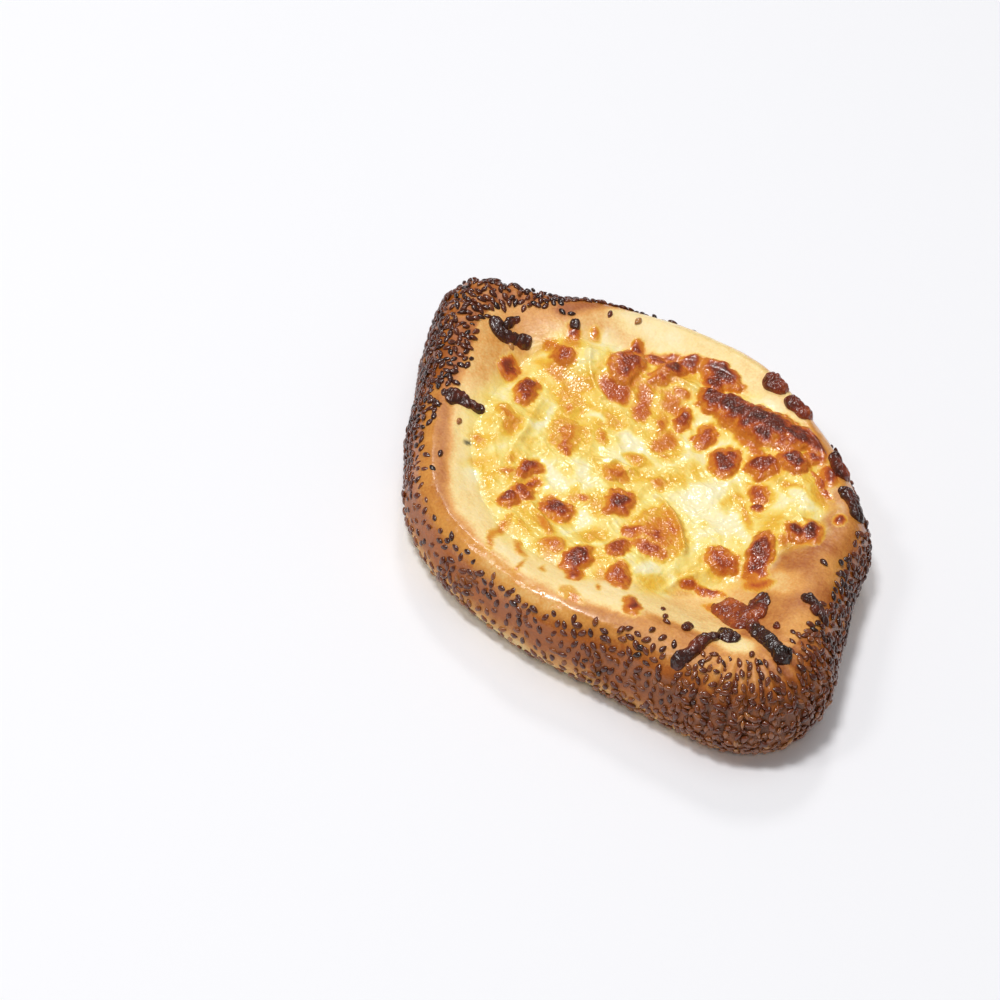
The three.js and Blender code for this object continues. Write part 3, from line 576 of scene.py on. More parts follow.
def rough_folds(x, y):
    """Creases and strands of the melted sheet: 1 - |2n - 1| of noise whose points are first pushed
    about by a coarser noise, so that its crests wander and join."""
    push = 5.0 * (noise(x, y, 0, 9.0, 63) - 0.5)
    coarse = 1 - np.abs(2 * noise(x + push, y - push, 0, 6.5, 64) - 1)
    fine = 1 - np.abs(2 * noise(x - push, y + push, 0, 2.6, 66) - 1)
    return CREASE_HEIGHT * coarse ** 2 + FINE_CREASE_HEIGHT * fine ** 2


def cheese_surface(x, y):
    """Top of the cheese and how baked it is there: the sheet over the dough, its waves, the baked
    spots' domes, packed bubbles where it browned, and the stretched strands."""
    inside = inset_from(cheese_radius, x, y)
    thickness = lerp(CHEESE_EDGE_THICKNESS, CHEESE_MIDDLE_THICKNESS,
                     smoothstep(inside, 0, CHEESE_SHOULDER))
    bake, rise = cheese_bake(x, y)
    waves = CHEESE_WAVE_HEIGHT * (fractal(x, y, 0, 15.0, 2, 61) - 0.5) + rough_folds(x, y) - 0.4
    bubbly = smoothstep(bake, 0.4, 0.66)
    grain = sum(height * bubbles(x, y, size, seed) for height, size, seed in BUBBLES)
    pimply = smoothstep(noise(x, y, 0, 6.0, 77), 0.35, 0.6)
    pimples = PIMPLE_HEIGHT * bubbles(x, y, 1.1, 75) * pimply
    strands = sum(strand_height(x, y, strand) for strand in STRANDS)
    relief = waves * (1 - 0.5 * bubbly) + bubbly * grain + (1 - bubbly) * pimples + strands
    melt = smoothstep(inside, 0, CHEESE_MELT)
    lift = lerp(-CHEESE_EDGE_SUNK, CHEESE_GAP + thickness, melt) + relief * lerp(0.1, 1, melt)
    return dough_height_at(x, y) + lift + rise, bake


# ---- Meshes ------------------------------------------------------------------------------------

def pole_faces(pole, ring, flip=False):
    """Triangles from one point to a closed ring of points."""
    after = np.roll(ring, -1)
    sides = (after, ring) if flip else (ring, after)
    return np.stack([np.full(len(ring), pole), *sides], 1)


def closed_faces(rows, columns, flip=False):
    """Faces of a closed shape: quads of a grid of points that joins up along its columns, and the
    triangles from its first and its last row to the two poles, whose points follow the grid's."""
    row, column = np.meshgrid(np.arange(rows - 1), np.arange(columns), indexing="ij")
    after = (column + 1) % columns
    corners = [row * columns + column, row * columns + after,
               (row + 1) * columns + after, (row + 1) * columns + column]
    count = rows * columns
    ring = np.arange(columns)
    faces = [np.stack([c.ravel() for c in corners], 1), pole_faces(count, ring, flip=True),
             pole_faces(count + 1, ring + count - columns)]
    return [f[:, ::-1] for f in faces] if flip else faces


def unit(vectors):
    """The same directions with a length of 1."""
    return vectors / np.linalg.norm(vectors, axis=1)[:, None]


def new_piece(name, points, faces, attributes, material, slot, *nodes):
    """A smooth-shaded mesh from arrays of points in millimetres and faces, with its attributes
    and finish, that rides on the body and stands for the named nodes."""
    mesh = bpy.data.meshes.new(name)
    mesh.vertices.add(len(points))
    mesh.vertices.foreach_set("co", (np.asarray(points) * MM).astype(np.float32).ravel())
    sizes = np.concatenate([np.full(len(f), f.shape[1]) for f in faces])
    mesh.loops.add(int(sizes.sum()))
    mesh.loops.foreach_set("vertex_index",
                           np.concatenate([f.ravel() for f in faces]).astype(np.int32))
    mesh.polygons.add(len(sizes))
    mesh.polygons.foreach_set("loop_start", (np.cumsum(sizes) - sizes).astype(np.int32))
    mesh.polygons.foreach_set("use_smooth", np.ones(len(sizes), bool))
    mesh.update(calc_edges=True)
    for key, values in attributes.items():
        set_attribute(mesh, key, values)
    mesh.validate()
    piece = bpy.data.objects.new(name, mesh)
    bpy.context.scene.collection.objects.link(piece)
    mesh.materials.append(material)
    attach(piece, BODY)
    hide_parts(*nodes)
    return piece


def set_attribute(mesh, key, values):
    """One number a vertex, under a name that the materials read."""
    layer = mesh.attributes.new(key, "FLOAT", "POINT")
    layer.data.foreach_set("value", np.asarray(values, np.float32).ravel())


def finished_mesh(piece):
    """Puts the result of a piece's modifiers into its mesh and removes them."""
    evaluated = piece.evaluated_get(bpy.context.evaluated_depsgraph_get())
    mesh = bpy.data.meshes.new_from_object(evaluated)
    piece.modifiers.clear()
    piece.data = mesh
    return mesh


# ---- Shaders -----------------------------------------------------------------------------------

def srgb(red, green, blue, alpha=None):
    """A colour as seen on screen, 0 to 255, as the linear numbers that shaders use."""
    linear = [c / 12.92 if c <= 0.04045 else ((c + 0.055) / 1.055) ** 2.4
              for c in (red / 255, green / 255, blue / 255)]
    return tuple(linear) if alpha is None else (*linear, alpha)


def add_node(tree, kind, inputs=(), **settings):
    """Adds a node, sets its own values, and sets or links its inputs by name or number."""
    made = tree.nodes.new(kind)
    for key, value in settings.items():
        setattr(made, key, value)
    for key, value in dict(inputs).items():
        if isinstance(value, bpy.types.NodeSocket):
            tree.links.new(value, made.inputs[key])
        else:
            made.inputs[key].default_value = value
    return made


def maths(tree, operation, a, b=0.0, clamp=False):
    """One sum of two numbers or sockets."""
    return add_node(tree, "ShaderNodeMath", {0: a, 1: b}, operation=operation,
                    use_clamp=clamp).outputs[0]


def mix_colour(tree, share, a, b):
    """Colour a, turning into b by the share."""
    made = add_node(tree, "ShaderNodeMix", {0: share, 6: a, 7: b}, data_type="RGBA")
    return made.outputs[2]


def ramp(tree, value, stops):
    """A colour for each value: stops are (place, colour)."""
    made = add_node(tree, "ShaderNodeValToRGB", {0: value})
    elements = made.color_ramp.elements
    for place, _ in stops[2:]:
        elements.new(place)
    for element, (place, colour) in zip(elements, stops):
        element.position = place
        element.color = (*colour[:3], 1)
    return made.outputs[0]


def attribute(tree, key):
    """The socket of a mesh attribute."""
    return add_node(tree, "ShaderNodeAttribute", attribute_name=key).outputs["Fac"]


def uneven_value(tree, given):
    """Inside of a shader group: a value with noise added, in patches of a size in metres and in a
    grain seven times as fine."""
    coords = add_node(tree, "ShaderNodeTexCoord").outputs["Object"]
    scale = maths(tree, "DIVIDE", 1.0, given["Patch Size"])
    patch = add_node(tree, "ShaderNodeTexNoise",
                     {"Vector": coords, "Scale": scale, "Detail": 4.0, "Roughness": 0.6})
    grain = add_node(tree, "ShaderNodeTexNoise", {
        "Vector": coords, "Scale": maths(tree, "MULTIPLY", scale, 7.0), "Detail": 2.0})
    value = given["Value"]
    for texture, amount in ((patch, "Patch Amount"), (grain, "Grain Amount")):
        centred = maths(tree, "SUBTRACT", texture.outputs[0], 0.5)
        value = maths(tree, "ADD", value, maths(tree, "MULTIPLY", centred, given[amount]))
    return value


def skin_height(tree, given):
    """Inside of a shader group: the height of a baked skin, as fine wrinkles over shallow pores of
    sizes in metres."""
    coords = add_node(tree, "ShaderNodeTexCoord").outputs["Object"]
    wrinkle = add_node(tree, "ShaderNodeTexNoise", {
        "Vector": coords, "Scale": maths(tree, "DIVIDE", 1.0, given["Wrinkle Size"]),
        "Detail": 0.6, "Roughness": 0.5, "Distortion": 0.4})
    pore = add_node(tree, "ShaderNodeTexVoronoi", {
        "Vector": coords, "Scale": maths(tree, "DIVIDE", 1.0, given["Pore Size"])})
    pit = maths(tree, "MULTIPLY", maths(tree, "SUBTRACT", pore.outputs[0], 0.5), given["Pores"])
    return maths(tree, "ADD", wrinkle.outputs[0], pit)


def baked_colour(tree, given):
    """Inside of a shader group: the colour of dough by how toasted it is and how floury, and of
    cheese by how baked it is, mixed by the film of cheese over the dough. The toast and the bake
    also carry some painted shade and painted highlight."""
    crust, cheese = bpy.context.scene.simit_crust, bpy.context.scene.simit_cheese
    dough = ramp(tree, uneven(tree, given["Toast"], size=0.005, patches=0.24, grain=0.2), [
        (0.0, crust.cream), (0.2, crust.pale), (0.42, crust.golden), (0.66, crust.brown),
        (1.0, crust.dark)])
    flour = uneven(tree, given["Flour"], size=0.003, patches=0.8, grain=0.3)
    floury = maths(tree, "MULTIPLY", flour, given["Flour"], clamp=True)
    dough = mix_colour(tree, floury, dough, (*crust.flour, 1))
    melted = ramp(tree, uneven(tree, given["Bake"], size=0.003, patches=0.12, grain=0.08), [
        (0.0, cheese.cream), (0.13, cheese.yellow), (0.26, cheese.golden), (0.4, cheese.amber),
        (0.53, cheese.rust), (0.68, cheese.brown), (0.84, cheese.umber), (1.0, cheese.burnt)])
    covered = mix_colour(tree, given["Film"], dough, melted)
    return mix_colour(tree, given["Speck"], covered, srgb(70, 72, 58, 1))


# The shader groups: what works out the result, the output's name and kind, and the inputs with
# their defaults.
GROUPS = {
    "Uneven value": (uneven_value, "Value", "NodeSocketFloat", {
        "Value": 0.0, "Patch Size": 0.004, "Patch Amount": 0.1, "Grain Amount": 0.05}),
    "Skin height": (skin_height, "Height", "NodeSocketFloat", {
        "Wrinkle Size": 0.001, "Pore Size": 0.0006, "Pores": 0.3}),
    "Baked colour": (baked_colour, "Colour", "NodeSocketColor", {
        "Toast": 0.0, "Flour": 0.0, "Bake": 0.0, "Film": 0.0, "Speck": 0.0}),
}


def shader_group(name):
    """A shader group of the table above, made when it is first asked for."""
    if name not in bpy.data.node_groups:
        work_out, result, kind, inputs = GROUPS[name]
        tree = bpy.data.node_groups.new(name, "ShaderNodeTree")
        for key, default in inputs.items():
            made = tree.interface.new_socket(key, in_out="INPUT", socket_type="NodeSocketFloat")
            made.default_value = default
        tree.interface.new_socket(result, in_out="OUTPUT", socket_type=kind)
        given = tree.nodes.new("NodeGroupInput").outputs
        out = tree.nodes.new("NodeGroupOutput")
        tree.links.new(work_out(tree, given), out.inputs[0])
    return bpy.data.node_groups[name]


def use_group(tree, name, inputs):
    """Places a shader group with its values and gives its output."""
    return add_node(tree, "ShaderNodeGroup", inputs, node_tree=shader_group(name)).outputs[0]


def uneven(tree, value, size, patches, grain):
    """A value made uneven by patches of a size in metres and by grain, each by its amount."""
    return use_group(tree, "Uneven value", {
        "Value": value, "Patch Size": size, "Patch Amount": patches, "Grain Amount": grain})


def skin(tree, wrinkle, pore, pores):
    """The height of a skin: the sizes of its wrinkles and pores in metres, and how deep the pores
    are. A depth below zero makes them pimples."""
    return use_group(tree, "Skin height", {
        "Wrinkle Size": wrinkle, "Pore Size": pore, "Pores": pores})


def dough_and_cheese(tree):
    """The shared colour of dough and cheese, from the piece's own marks."""
    return use_group(tree, "Baked colour", {
        name: attribute(tree, name.lower()) for name in GROUPS["Baked colour"][3]})


def less(tree, value, amount, mark):
    """A value that falls by an amount where the mark is full."""
    return maths(tree, "SUBTRACT", value, maths(tree, "MULTIPLY", mark, amount))


def empty_material(name):
    """A new material and its empty tree of nodes."""
    material = bpy.data.materials.new(name)
    material.use_nodes = True
    material.node_tree.nodes.clear()
    return material, material.node_tree


def shade(tree, colour, roughness, height, bump, constants):
    """Ends a material: its colour, its roughness and the height of its bump as sockets, the depth
    of the bump in metres, and the shader's constant values."""
    relief = add_node(tree, "ShaderNodeBump", {
        "Height": height, "Distance": bump, "Strength": 1.0})
    shader = add_node(tree, "ShaderNodeBsdfPrincipled", {
        **constants, "Base Color": colour, "Roughness": roughness, "Normal": relief.outputs[0]})
    add_node(tree, "ShaderNodeOutputMaterial", {"Surface": shader.outputs[0]})


def crust_material():
    """Baked dough: cream to dark brown, floury at the foot and glazed on the crest."""
    material, tree = empty_material("Baked dough")
    glaze = attribute(tree, "glaze")
    wet = maths(tree, "MAXIMUM", glaze, attribute(tree, "film"))
    roughness = uneven(tree, less(tree, 0.56, 0.34, wet), size=0.003, patches=0.3, grain=0.15)
    height = maths(tree, "MULTIPLY", skin(tree, wrinkle=0.0014, pore=0.001, pores=0.3),
                   less(tree, 1.0, 0.4, glaze))
    shade(tree, dough_and_cheese(tree), roughness, height, bump=0.00017, constants={
        "Subsurface Weight": 0.1, "Subsurface Radius": (1.0, 0.5, 0.2),
        "Subsurface Scale": 0.0015, "Specular IOR Level": 0.7})
    return material


def cheese_material():
    """Melted cheese: cream over golden to burnt, wet, and bubbly where it browned."""
    material, tree = empty_material("Melted cheese")
    roughness = uneven(tree, less(tree, 0.3, 0.12, attribute(tree, "film")), size=0.003,
                       patches=0.22, grain=0.1)
    pimples = maths(tree, "MULTIPLY", attribute(tree, "bake"), -1.8)
    height = skin(tree, wrinkle=0.0016, pore=0.0008, pores=pimples)
    shade(tree, dough_and_cheese(tree), roughness, height, bump=0.00018, constants={
        "Subsurface Weight": 0.15, "Subsurface Radius": (1.0, 0.62, 0.2),
        "Subsurface Scale": 0.0015, "Specular IOR Level": 0.65})
    return material


def sesame_material(look):
    """Roasted seeds: each has its own tone, with a paler rim and dark ends."""
    material, tree = empty_material("Roasted sesame")
    tone = uneven(tree, attribute(tree, "tone"), size=0.0012, patches=0.2, grain=0.12)
    colour = ramp(tree, tone, [
        (0.0, look.tan), (0.25, look.roasted), (0.55, look.brown), (0.8, look.dark),
        (1.0, look.black)])
    roughness = uneven(tree, 0.13, size=0.0015, patches=0.1, grain=0.06)
    height = skin(tree, wrinkle=0.0009, pore=0.0008, pores=0.2)
    shade(tree, colour, roughness, height, bump=0.00003, constants={
        "Specular IOR Level": 0.75})
    return material


def burnt_material(look):
    """Burnt cheese: near black on top, glassy red-brown where it is thin."""
    material, tree = empty_material("Burnt cheese")
    char = uneven(tree, attribute(tree, "char"), size=0.0022, patches=0.5, grain=0.2)
    colour = ramp(tree, char, [
        (0.0, look.amber), (0.3, look.rust), (0.62, look.umber), (1.0, look.black)])
    roughness = uneven(tree, 0.24, size=0.002, patches=0.3, grain=0.1)
    height = skin(tree, wrinkle=0.0012, pore=0.0009, pores=-0.6)
    shade(tree, colour, roughness, height, bump=0.00015, constants={
        "Specular IOR Level": 0.7, "Subsurface Weight": 0.06,
        "Subsurface Radius": (1.0, 0.3, 0.1), "Subsurface Scale": 0.001})
    return material


# ---- Settings ----------------------------------------------------------------------------------

def colour_property(name, description, *rgb):
    """A colour that a user may change, given as seen on screen."""
    return FloatVectorProperty(name=name, description=description, subtype="COLOR", size=3,
                               min=0, max=1, default=srgb(*rgb))


def length_property(name, description, millimetres):
    """A length that a user may change, given in millimetres."""
    return FloatProperty(name=name, description=description, default=millimetres * MM,
                         unit="LENGTH", precision=4)


class CrustSettings(bpy.types.PropertyGroup):
    """Colours of the baked dough, and how finely its surface is made."""
    cream: colour_property("Cream", "Unbaked inner dough", 255, 236, 190)
    pale: colour_property("Pale", "Lightly baked dough", 252, 221, 150)
    golden: colour_property("Golden", "Golden dough", 226, 158, 74)
    brown: colour_property("Brown", "Crest of the rim", 174, 94, 28)
    dark: colour_property("Dark", "Darkest crust", 94, 48, 17)
    flour: colour_property("Flour", "Floury foot of the wall", 237, 207, 158)
    around: IntProperty(name="Points around", description="Points round the rim", default=620)


class SeedSettings(bpy.types.PropertyGroup):
    """Size, spacing and colours of the sesame."""
    length: length_property("Length", "Length of a seed", 2.85)
    width: length_property("Width", "Width of a seed", 1.7)
    thickness: length_property("Thickness", "Thickness of a seed", 1.1)
    close: length_property("Close spacing", "Distance between crowded seeds", 1.68)
    wide: length_property("Wide spacing", "Distance between scattered seeds", 3.0)
    tan: colour_property("Tan", "Palest seeds", 200, 146, 84)
    roasted: colour_property("Roasted", "Roasted seeds", 152, 88, 42)
    brown: colour_property("Brown", "Brown seeds", 108, 50, 26)
    dark: colour_property("Dark", "Dark seeds", 66, 28, 17)
    black: colour_property("Black", "Darkest seeds", 32, 15, 10)
    random_start: IntProperty(name="Random start", description="Start of the draw", default=23)


class CheeseSettings(bpy.types.PropertyGroup):
    """Colours of the melted cheese, and how finely its surface is made."""
    cream: colour_property("Cream", "Palest cheese", 255, 243, 198)
    yellow: colour_property("Yellow", "Pale yellow cheese", 253, 228, 132)
    golden: colour_property("Golden", "Golden pools", 243, 195, 68)
    amber: colour_property("Amber", "Rims of the baked spots", 220, 134, 38)
    rust: colour_property("Rust", "Lightly browned spots", 192, 90, 32)
    brown: colour_property("Brown", "Browned spots", 154, 62, 26)
    umber: colour_property("Umber", "Dark spots", 108, 42, 22)
    burnt: colour_property("Burnt", "Burnt ridge", 64, 26, 14)
    across: IntProperty(name="Points across", description="Points across the sheet", default=296)


class ShredSettings(bpy.types.PropertyGroup):
    """Colours of the burnt shreds."""
    amber: colour_property("Amber", "Thin edges", 186, 92, 36)
    rust: colour_property("Rust", "Red-brown parts", 128, 48, 22)
    umber: colour_property("Umber", "Dark parts", 66, 26, 14)
    black: colour_property("Black", "Charred parts", 28, 15, 10)


class StageSettings(bpy.types.PropertyGroup):
    """Camera and light."""
    azimuth: FloatProperty(name="Azimuth", description="Camera's turn round the bread",
                           default=math.radians(49.0), subtype="ANGLE")
    elevation: FloatProperty(name="Elevation", description="Camera's height above the horizon",
                             default=math.radians(47.1), subtype="ANGLE")
    roll: FloatProperty(name="Roll", description="Camera's roll", default=math.radians(9.0),
                        subtype="ANGLE")
    distance: length_property("Distance", "Camera's distance", 1000)
    lens: FloatProperty(name="Lens", description="Focal length for a 36 mm sensor", default=126.0,
                        unit="CAMERA")
    key: FloatProperty(name="Key light", description="Strength of the small lights", default=19.0)
    soft: FloatProperty(name="Soft light", description="Strength of the large light", default=8.5)
    fill: FloatProperty(name="Fill light", description="Strength of the white room", default=0.2)


# ---- Pieces ------------------------------------------------------------------------------------

def cheese_film(x, y):
    """How much of the surface's colour is the cheese's: a soft, wavy step at the cheese's edge, and
    full on the baked spots beyond it."""
    edge = inset_from(cheese_radius, x, y) + FILM_WOBBLE * (fractal(x, y, 0, 6.0, 3, 87) - 0.5)
    return np.maximum(smoothstep(edge, *FILM_EDGE), smoothstep(baked_spots(x, y)[0], 0.2, 0.36))


def speck_mask(x, y):
    """One grey-green speck of pepper: 0.9 at its middle and 0 two millimetres away."""
    near = np.hypot(x - SPECK[0], (y - SPECK[1]) * 0.8)
    return 0.9 * (1 - smoothstep(near + noise(x, y, 0, 0.7, 91), 0.7, 1.9))


class SIMIT_OT_crust(bpy.types.Operator):
    """Builds the dough as one closed surface of angle and climb"""
    bl_idname = "simit.crust"
    bl_label = "Crust"

    def execute(self, context):
        look = context.scene.simit_crust
        climbs = np.concatenate([np.linspace(low, low + 1, rows)[:-1]
                                 for low, rows in enumerate(CRUST_ROWS, -1)])[1:]
        angles = np.linspace(-math.pi, math.pi, look.around, endpoint=False)
        climb, angle = np.meshgrid(climbs, angles, indexing="ij")
        x, y, z = crust_point(angle, climb)
        points = np.stack([x, y, z], -1).reshape(-1, 3)
        poles = [[0, 0, UNDERSIDE_MIDDLE], [0, 0, DISH_FLOOR]]
        marks = {key: np.append(values, [values[0, 0], values[-1, 0]])
                 for key, values in self.marks(x, y, z, climb).items()}
        new_piece("crust", np.concatenate([points, poles]), closed_faces(*climb.shape), marks,
                  crust_material(), "crust", "bread")
        return {"FINISHED"}

    @staticmethod
    def marks(x, y, z, climb):
        """How toasted, floury, glazed and covered by cheese the dough is at each point. The toast
        holds painted shade as well: darker in the furrows of the folds, paler on their ridges.
        """
        crowded = seed_crowding(x, y, z, climb)
        wobble = FOOT_WOBBLE * (noise(x, y, z, 5.0, 83) - 0.5)
        foot = 1 - smoothstep(z + wobble, 3.0, FOOT_TOP)
        side_on = smoothstep(climb, *WALL_CLIMBS)
        wall = lerp(*WALL_TOAST, foot) + lerp(*SEEDED_TOAST, foot) * crowded ** 2
        toast = lerp(np.maximum(dough_toast(x, y, z), 0.7 * crowded ** 4), wall, side_on)
        # Painted shade: the dough is darker in the furrows of the folds and paler on their ridges.
        for fold in FOLDS:
            shown, ripple = fold_fan(fold, x, y, z)
            toast = toast - (0.02 + 0.1 * ripple) * shown * smoothstep(z, 8, 20)
        under = smoothstep(climb, 0.2, -0.1)
        upper = smoothstep(climb, 1.9, 2.0)
        crest = smoothstep(inset_from(bread_radius, x, y), *GLAZE_REACH)
        crest = crest * smoothstep(climb, 1.1, 1.5)
        greasy = 0.45 * smoothstep(inset_from(cheese_radius, x, y), -9, 0) * upper
        return {
            "toast": lerp(toast, 0.42 + 0.3 * (fractal(x, y, 0, 14, 3, 85) - 0.5), under),
            "flour": 0.8 * foot * (1 - 0.85 * crowded) + 0.3 * under,
            "glaze": np.clip(crest + greasy, 0, 1),
            "bake": cheese_bake(x, y)[0],
            "film": cheese_film(x, y) * upper,
            "speck": speck_mask(x, y) * upper,
        }


def dough_toast(x, y, z):
    """How toasted the upper side of the dough is, with its wavy golden band and its patches,
    the first of them partly painted highlight.
    """
    inset = inset_from(bread_radius, x, y)
    reach, crest, inner = round_the_rim(TOASTING, np.arctan2(y, x))
    wobble = BAND_WOBBLE * (fractal(x, y, z, 10.0, 3, 81) - 0.5)
    reach = reach + wobble
    band = 1 - smoothstep(inset, reach - BAND_FADE[0], reach + BAND_FADE[1])
    deeper = BAND_EDGE_BROWN * smoothstep(inset, reach - 5, reach - 1)
    toast = lerp(inner, crest + deeper, band)
    bend_x, bend_y = bent(x, y)
    # The first patch, on the knob's top, is partly painted highlight: the dough there is near
    # cream.
    for patch in PATCHES:
        near = spot_distance(bend_x, bend_y, patch) + 0.12 * wobble
        toast = lerp(toast, patch[5], 0.85 * (1 - smoothstep(near, 0.35, 1.3)))
    return toast


def seed_crowding(x, y, z, climb):
    """How crowded the seeds are, from 0 to 1: full on the two ends and the left wall, fewer along
    the near and far walls, none on the inner dough."""
    inset = inset_from(bread_radius, x, y)
    reach, most, _ = round_the_rim(SESAME_REACH, np.arctan2(y, x))
    fade = 1 - smoothstep(inset, reach - 0.5, reach + lerp(1.0, 3.5, most ** 2))
    return most * fade * lerp(0.65, 1, smoothstep(z, 1.5, 5)) * (climb > 0.1)


def seed_shape(sides=7, stations=5):
    """A flat drop along +X: width sin(pi t^0.82)^0.75 of the share t of its length, so that its
    far end is pointed. Gives unit points, faces, and how near the seed's rim and its ends each
    point is."""
    share = (np.arange(stations) + 0.5) / stations
    girth = np.sin(math.pi * share ** 0.82) ** 0.75
    turn = np.arange(sides) / sides * 2 * math.pi
    x = np.repeat(share - 0.5, sides)
    y = np.outer(girth, np.cos(turn)).ravel() / 2
    z = np.outer(girth, np.sin(turn)).ravel() / 2
    points = np.concatenate([np.stack([x, y, z], 1), [[-0.5, 0, 0], [0.5, 0, 0]]])
    rim = np.append(np.abs(np.tile(np.cos(turn), stations)), [1, 1])
    tip = np.abs(points[:, 0]) * 2
    return points, closed_faces(stations, sides, flip=True), rim, tip


class SIMIT_OT_seeds(bpy.types.Operator):
    """Scatters the sesame over the wall as joined drops, brown ones and pale ones"""
    bl_idname = "simit.seeds"
    bl_label = "Sesame"

    def execute(self, context):
        look = context.scene.simit_seeds
        rng = np.random.default_rng(look.random_start)
        angle, climb, heading, tone, pale = self.scattered(rng, look)
        strays = np.array(STRAY_SEEDS + PALE_STRAYS)
        stray_angle, stray_climb = self.place_of(strays[:, 0], strays[:, 1])
        lies = self.frames(np.append(angle, stray_angle), np.append(climb, stray_climb))
        across = np.arctan2(lies[2][:, 1], lies[2][:, 0])[len(heading):]
        heading = np.append(heading, np.radians(strays[:, 2]) - across)
        tone = np.append(tone, strays[:, 3])
        pale = np.append(pale, np.arange(len(strays)) >= len(STRAY_SEEDS))
        material = sesame_material(look)
        for name, chosen in (("seeds", ~pale), ("pale_seeds", pale)):
            self.make(name, chosen, lies, heading, tone, look, rng, material)
        return {"FINISHED"}

    @staticmethod
    def scattered(rng, look):
        """Random places, kept when the draw is under the crowding and no kept seed is close. Noise
        gathers them in clumps where they are few, and the ridges of the folds stay barer."""
        angle = rng.uniform(-math.pi, math.pi, SEED_TRIES)
        climb = rng.uniform(*SEED_CLIMBS, SEED_TRIES)
        x, y, z = crust_point(angle, climb)
        crowd = seed_crowding(x, y, z, climb)
        clump = 0.5 + 1.2 * smoothstep(noise(x, y, z, 6.0, 97), 0.4, 0.75)
        crowd = crowd * lerp(clump, 1, smoothstep(crowd, 0.45, 0.7))
        furrow = np.zeros(SEED_TRIES)
        for fold in FOLDS:
            shown, ripple = fold_fan(fold, x, y, z)
            distance = np.hypot(x - fold["x"], y - fold["y"])
            ordered = shown * (1 - smoothstep(distance, 11, 18))
            crowd = crowd * (1 - fold["bare"] * ordered * smoothstep(ripple, 0.0, 0.7))
            furrow = np.maximum(furrow, ordered)
        clear = SIMIT_OT_seeds.clear_of_toppings(x, y) | (z < WIDEST_HEIGHT)
        keep = np.flatnonzero((rng.uniform(0, 1, SEED_TRIES) < crowd) & clear & (crowd > 0.04))
        spacing = lerp(look.wide, look.close, smoothstep(crowd, 0.2, 0.9)) / MM
        points = np.stack([x, y, z], 1)
        chosen = SIMIT_OT_seeds.spread_out(points, spacing, keep)
        tone = round_the_rim(SESAME_REACH, angle)[2] + 0.1 * (smoothstep(z, 8, 22) - 0.5)
        tone = tone - 0.3 * (1 - smoothstep(z, 2, 9)) * (1.2 - tone)
        tone = tone + rng.normal(0, SEED_SPREAD["tone"], SEED_TRIES)
        pale = (tone < PALE_TONE) | (rng.uniform(0, 1, SEED_TRIES) < PALE_SHARE)
        tone = np.where(pale, np.clip(tone, 0.0, 0.25), np.clip(tone, 0.15, 0.98))
        heading = rng.uniform(-math.pi, math.pi, SEED_TRIES)
        in_furrow = math.pi / 2 + rng.normal(0, SEED_SPREAD["heading"], SEED_TRIES)
        heading = np.where(furrow > 0.5, in_furrow, heading)
        return angle[chosen], climb[chosen], heading[chosen], tone[chosen], pale[chosen]

    @staticmethod
    def clear_of_toppings(x, y):
        """True where a seed would lie clear of the burnt shreds and of the cheese."""
        clear = inset_from(cheese_radius, x, y) < -CHEESE_CLEARANCE
        for strips, _, _ in SHREDS.values():
            for path, width, _ in strips:
                line = np.array(path, float)
                for start, end in zip(line[:-1], line[1:]):
                    run = end - start
                    t = ((x - start[0]) * run[0] + (y - start[1]) * run[1]) / (run @ run)
                    t = np.clip(t, 0, 1)
                    gap = np.hypot(x - start[0] - t * run[0], y - start[1] - t * run[1])
                    clear &= gap > width / 2 + SHRED_CLEARANCE
        return clear

    @staticmethod
    def spread_out(points, spacing, order):
        """The points, taken in order, that keep their spacing from all taken before."""
        cells, chosen = {}, []
        for index in order:
            point, gap = points[index], spacing[index]
            home = tuple(np.floor(point / SEED_CELL).astype(int))
            near = [k for i in (-1, 0, 1) for j in (-1, 0, 1) for h in (-1, 0, 1)
                    for k in cells.get((home[0] + i, home[1] + j, home[2] + h), ())]
            if near and (((points[near] - point) ** 2).sum(1) < gap * gap).any():
                continue
            cells.setdefault(home, []).append(index)
            chosen.append(index)
        return np.array(chosen)

    @staticmethod
    def place_of(x, y):
        """The angle and the climb of points on the upper side, seen from above."""
        angle = np.arctan2(y, x)
        _, roll, slope = rim_at(angle)
        inset = inset_from(bread_radius, x, y)
        over = 1 + np.arccos(np.clip(1 - inset / roll, 0, 1)) / (math.pi / 2)
        return angle, np.where(inset < roll, over, 2 + (inset - roll) / (slope - roll))

    @staticmethod
    def frames(angle, climb):
        """Points of the crust with the directions outward and along the rim there."""
        here = np.stack(crust_point(angle, climb), 1)
        along = unit(np.stack(crust_point(angle + TURN_STEP, climb), 1) - here)
        up = np.stack(crust_point(angle, climb + CLIMB_STEP), 1) - here
        return here, unit(np.cross(along, up)), along

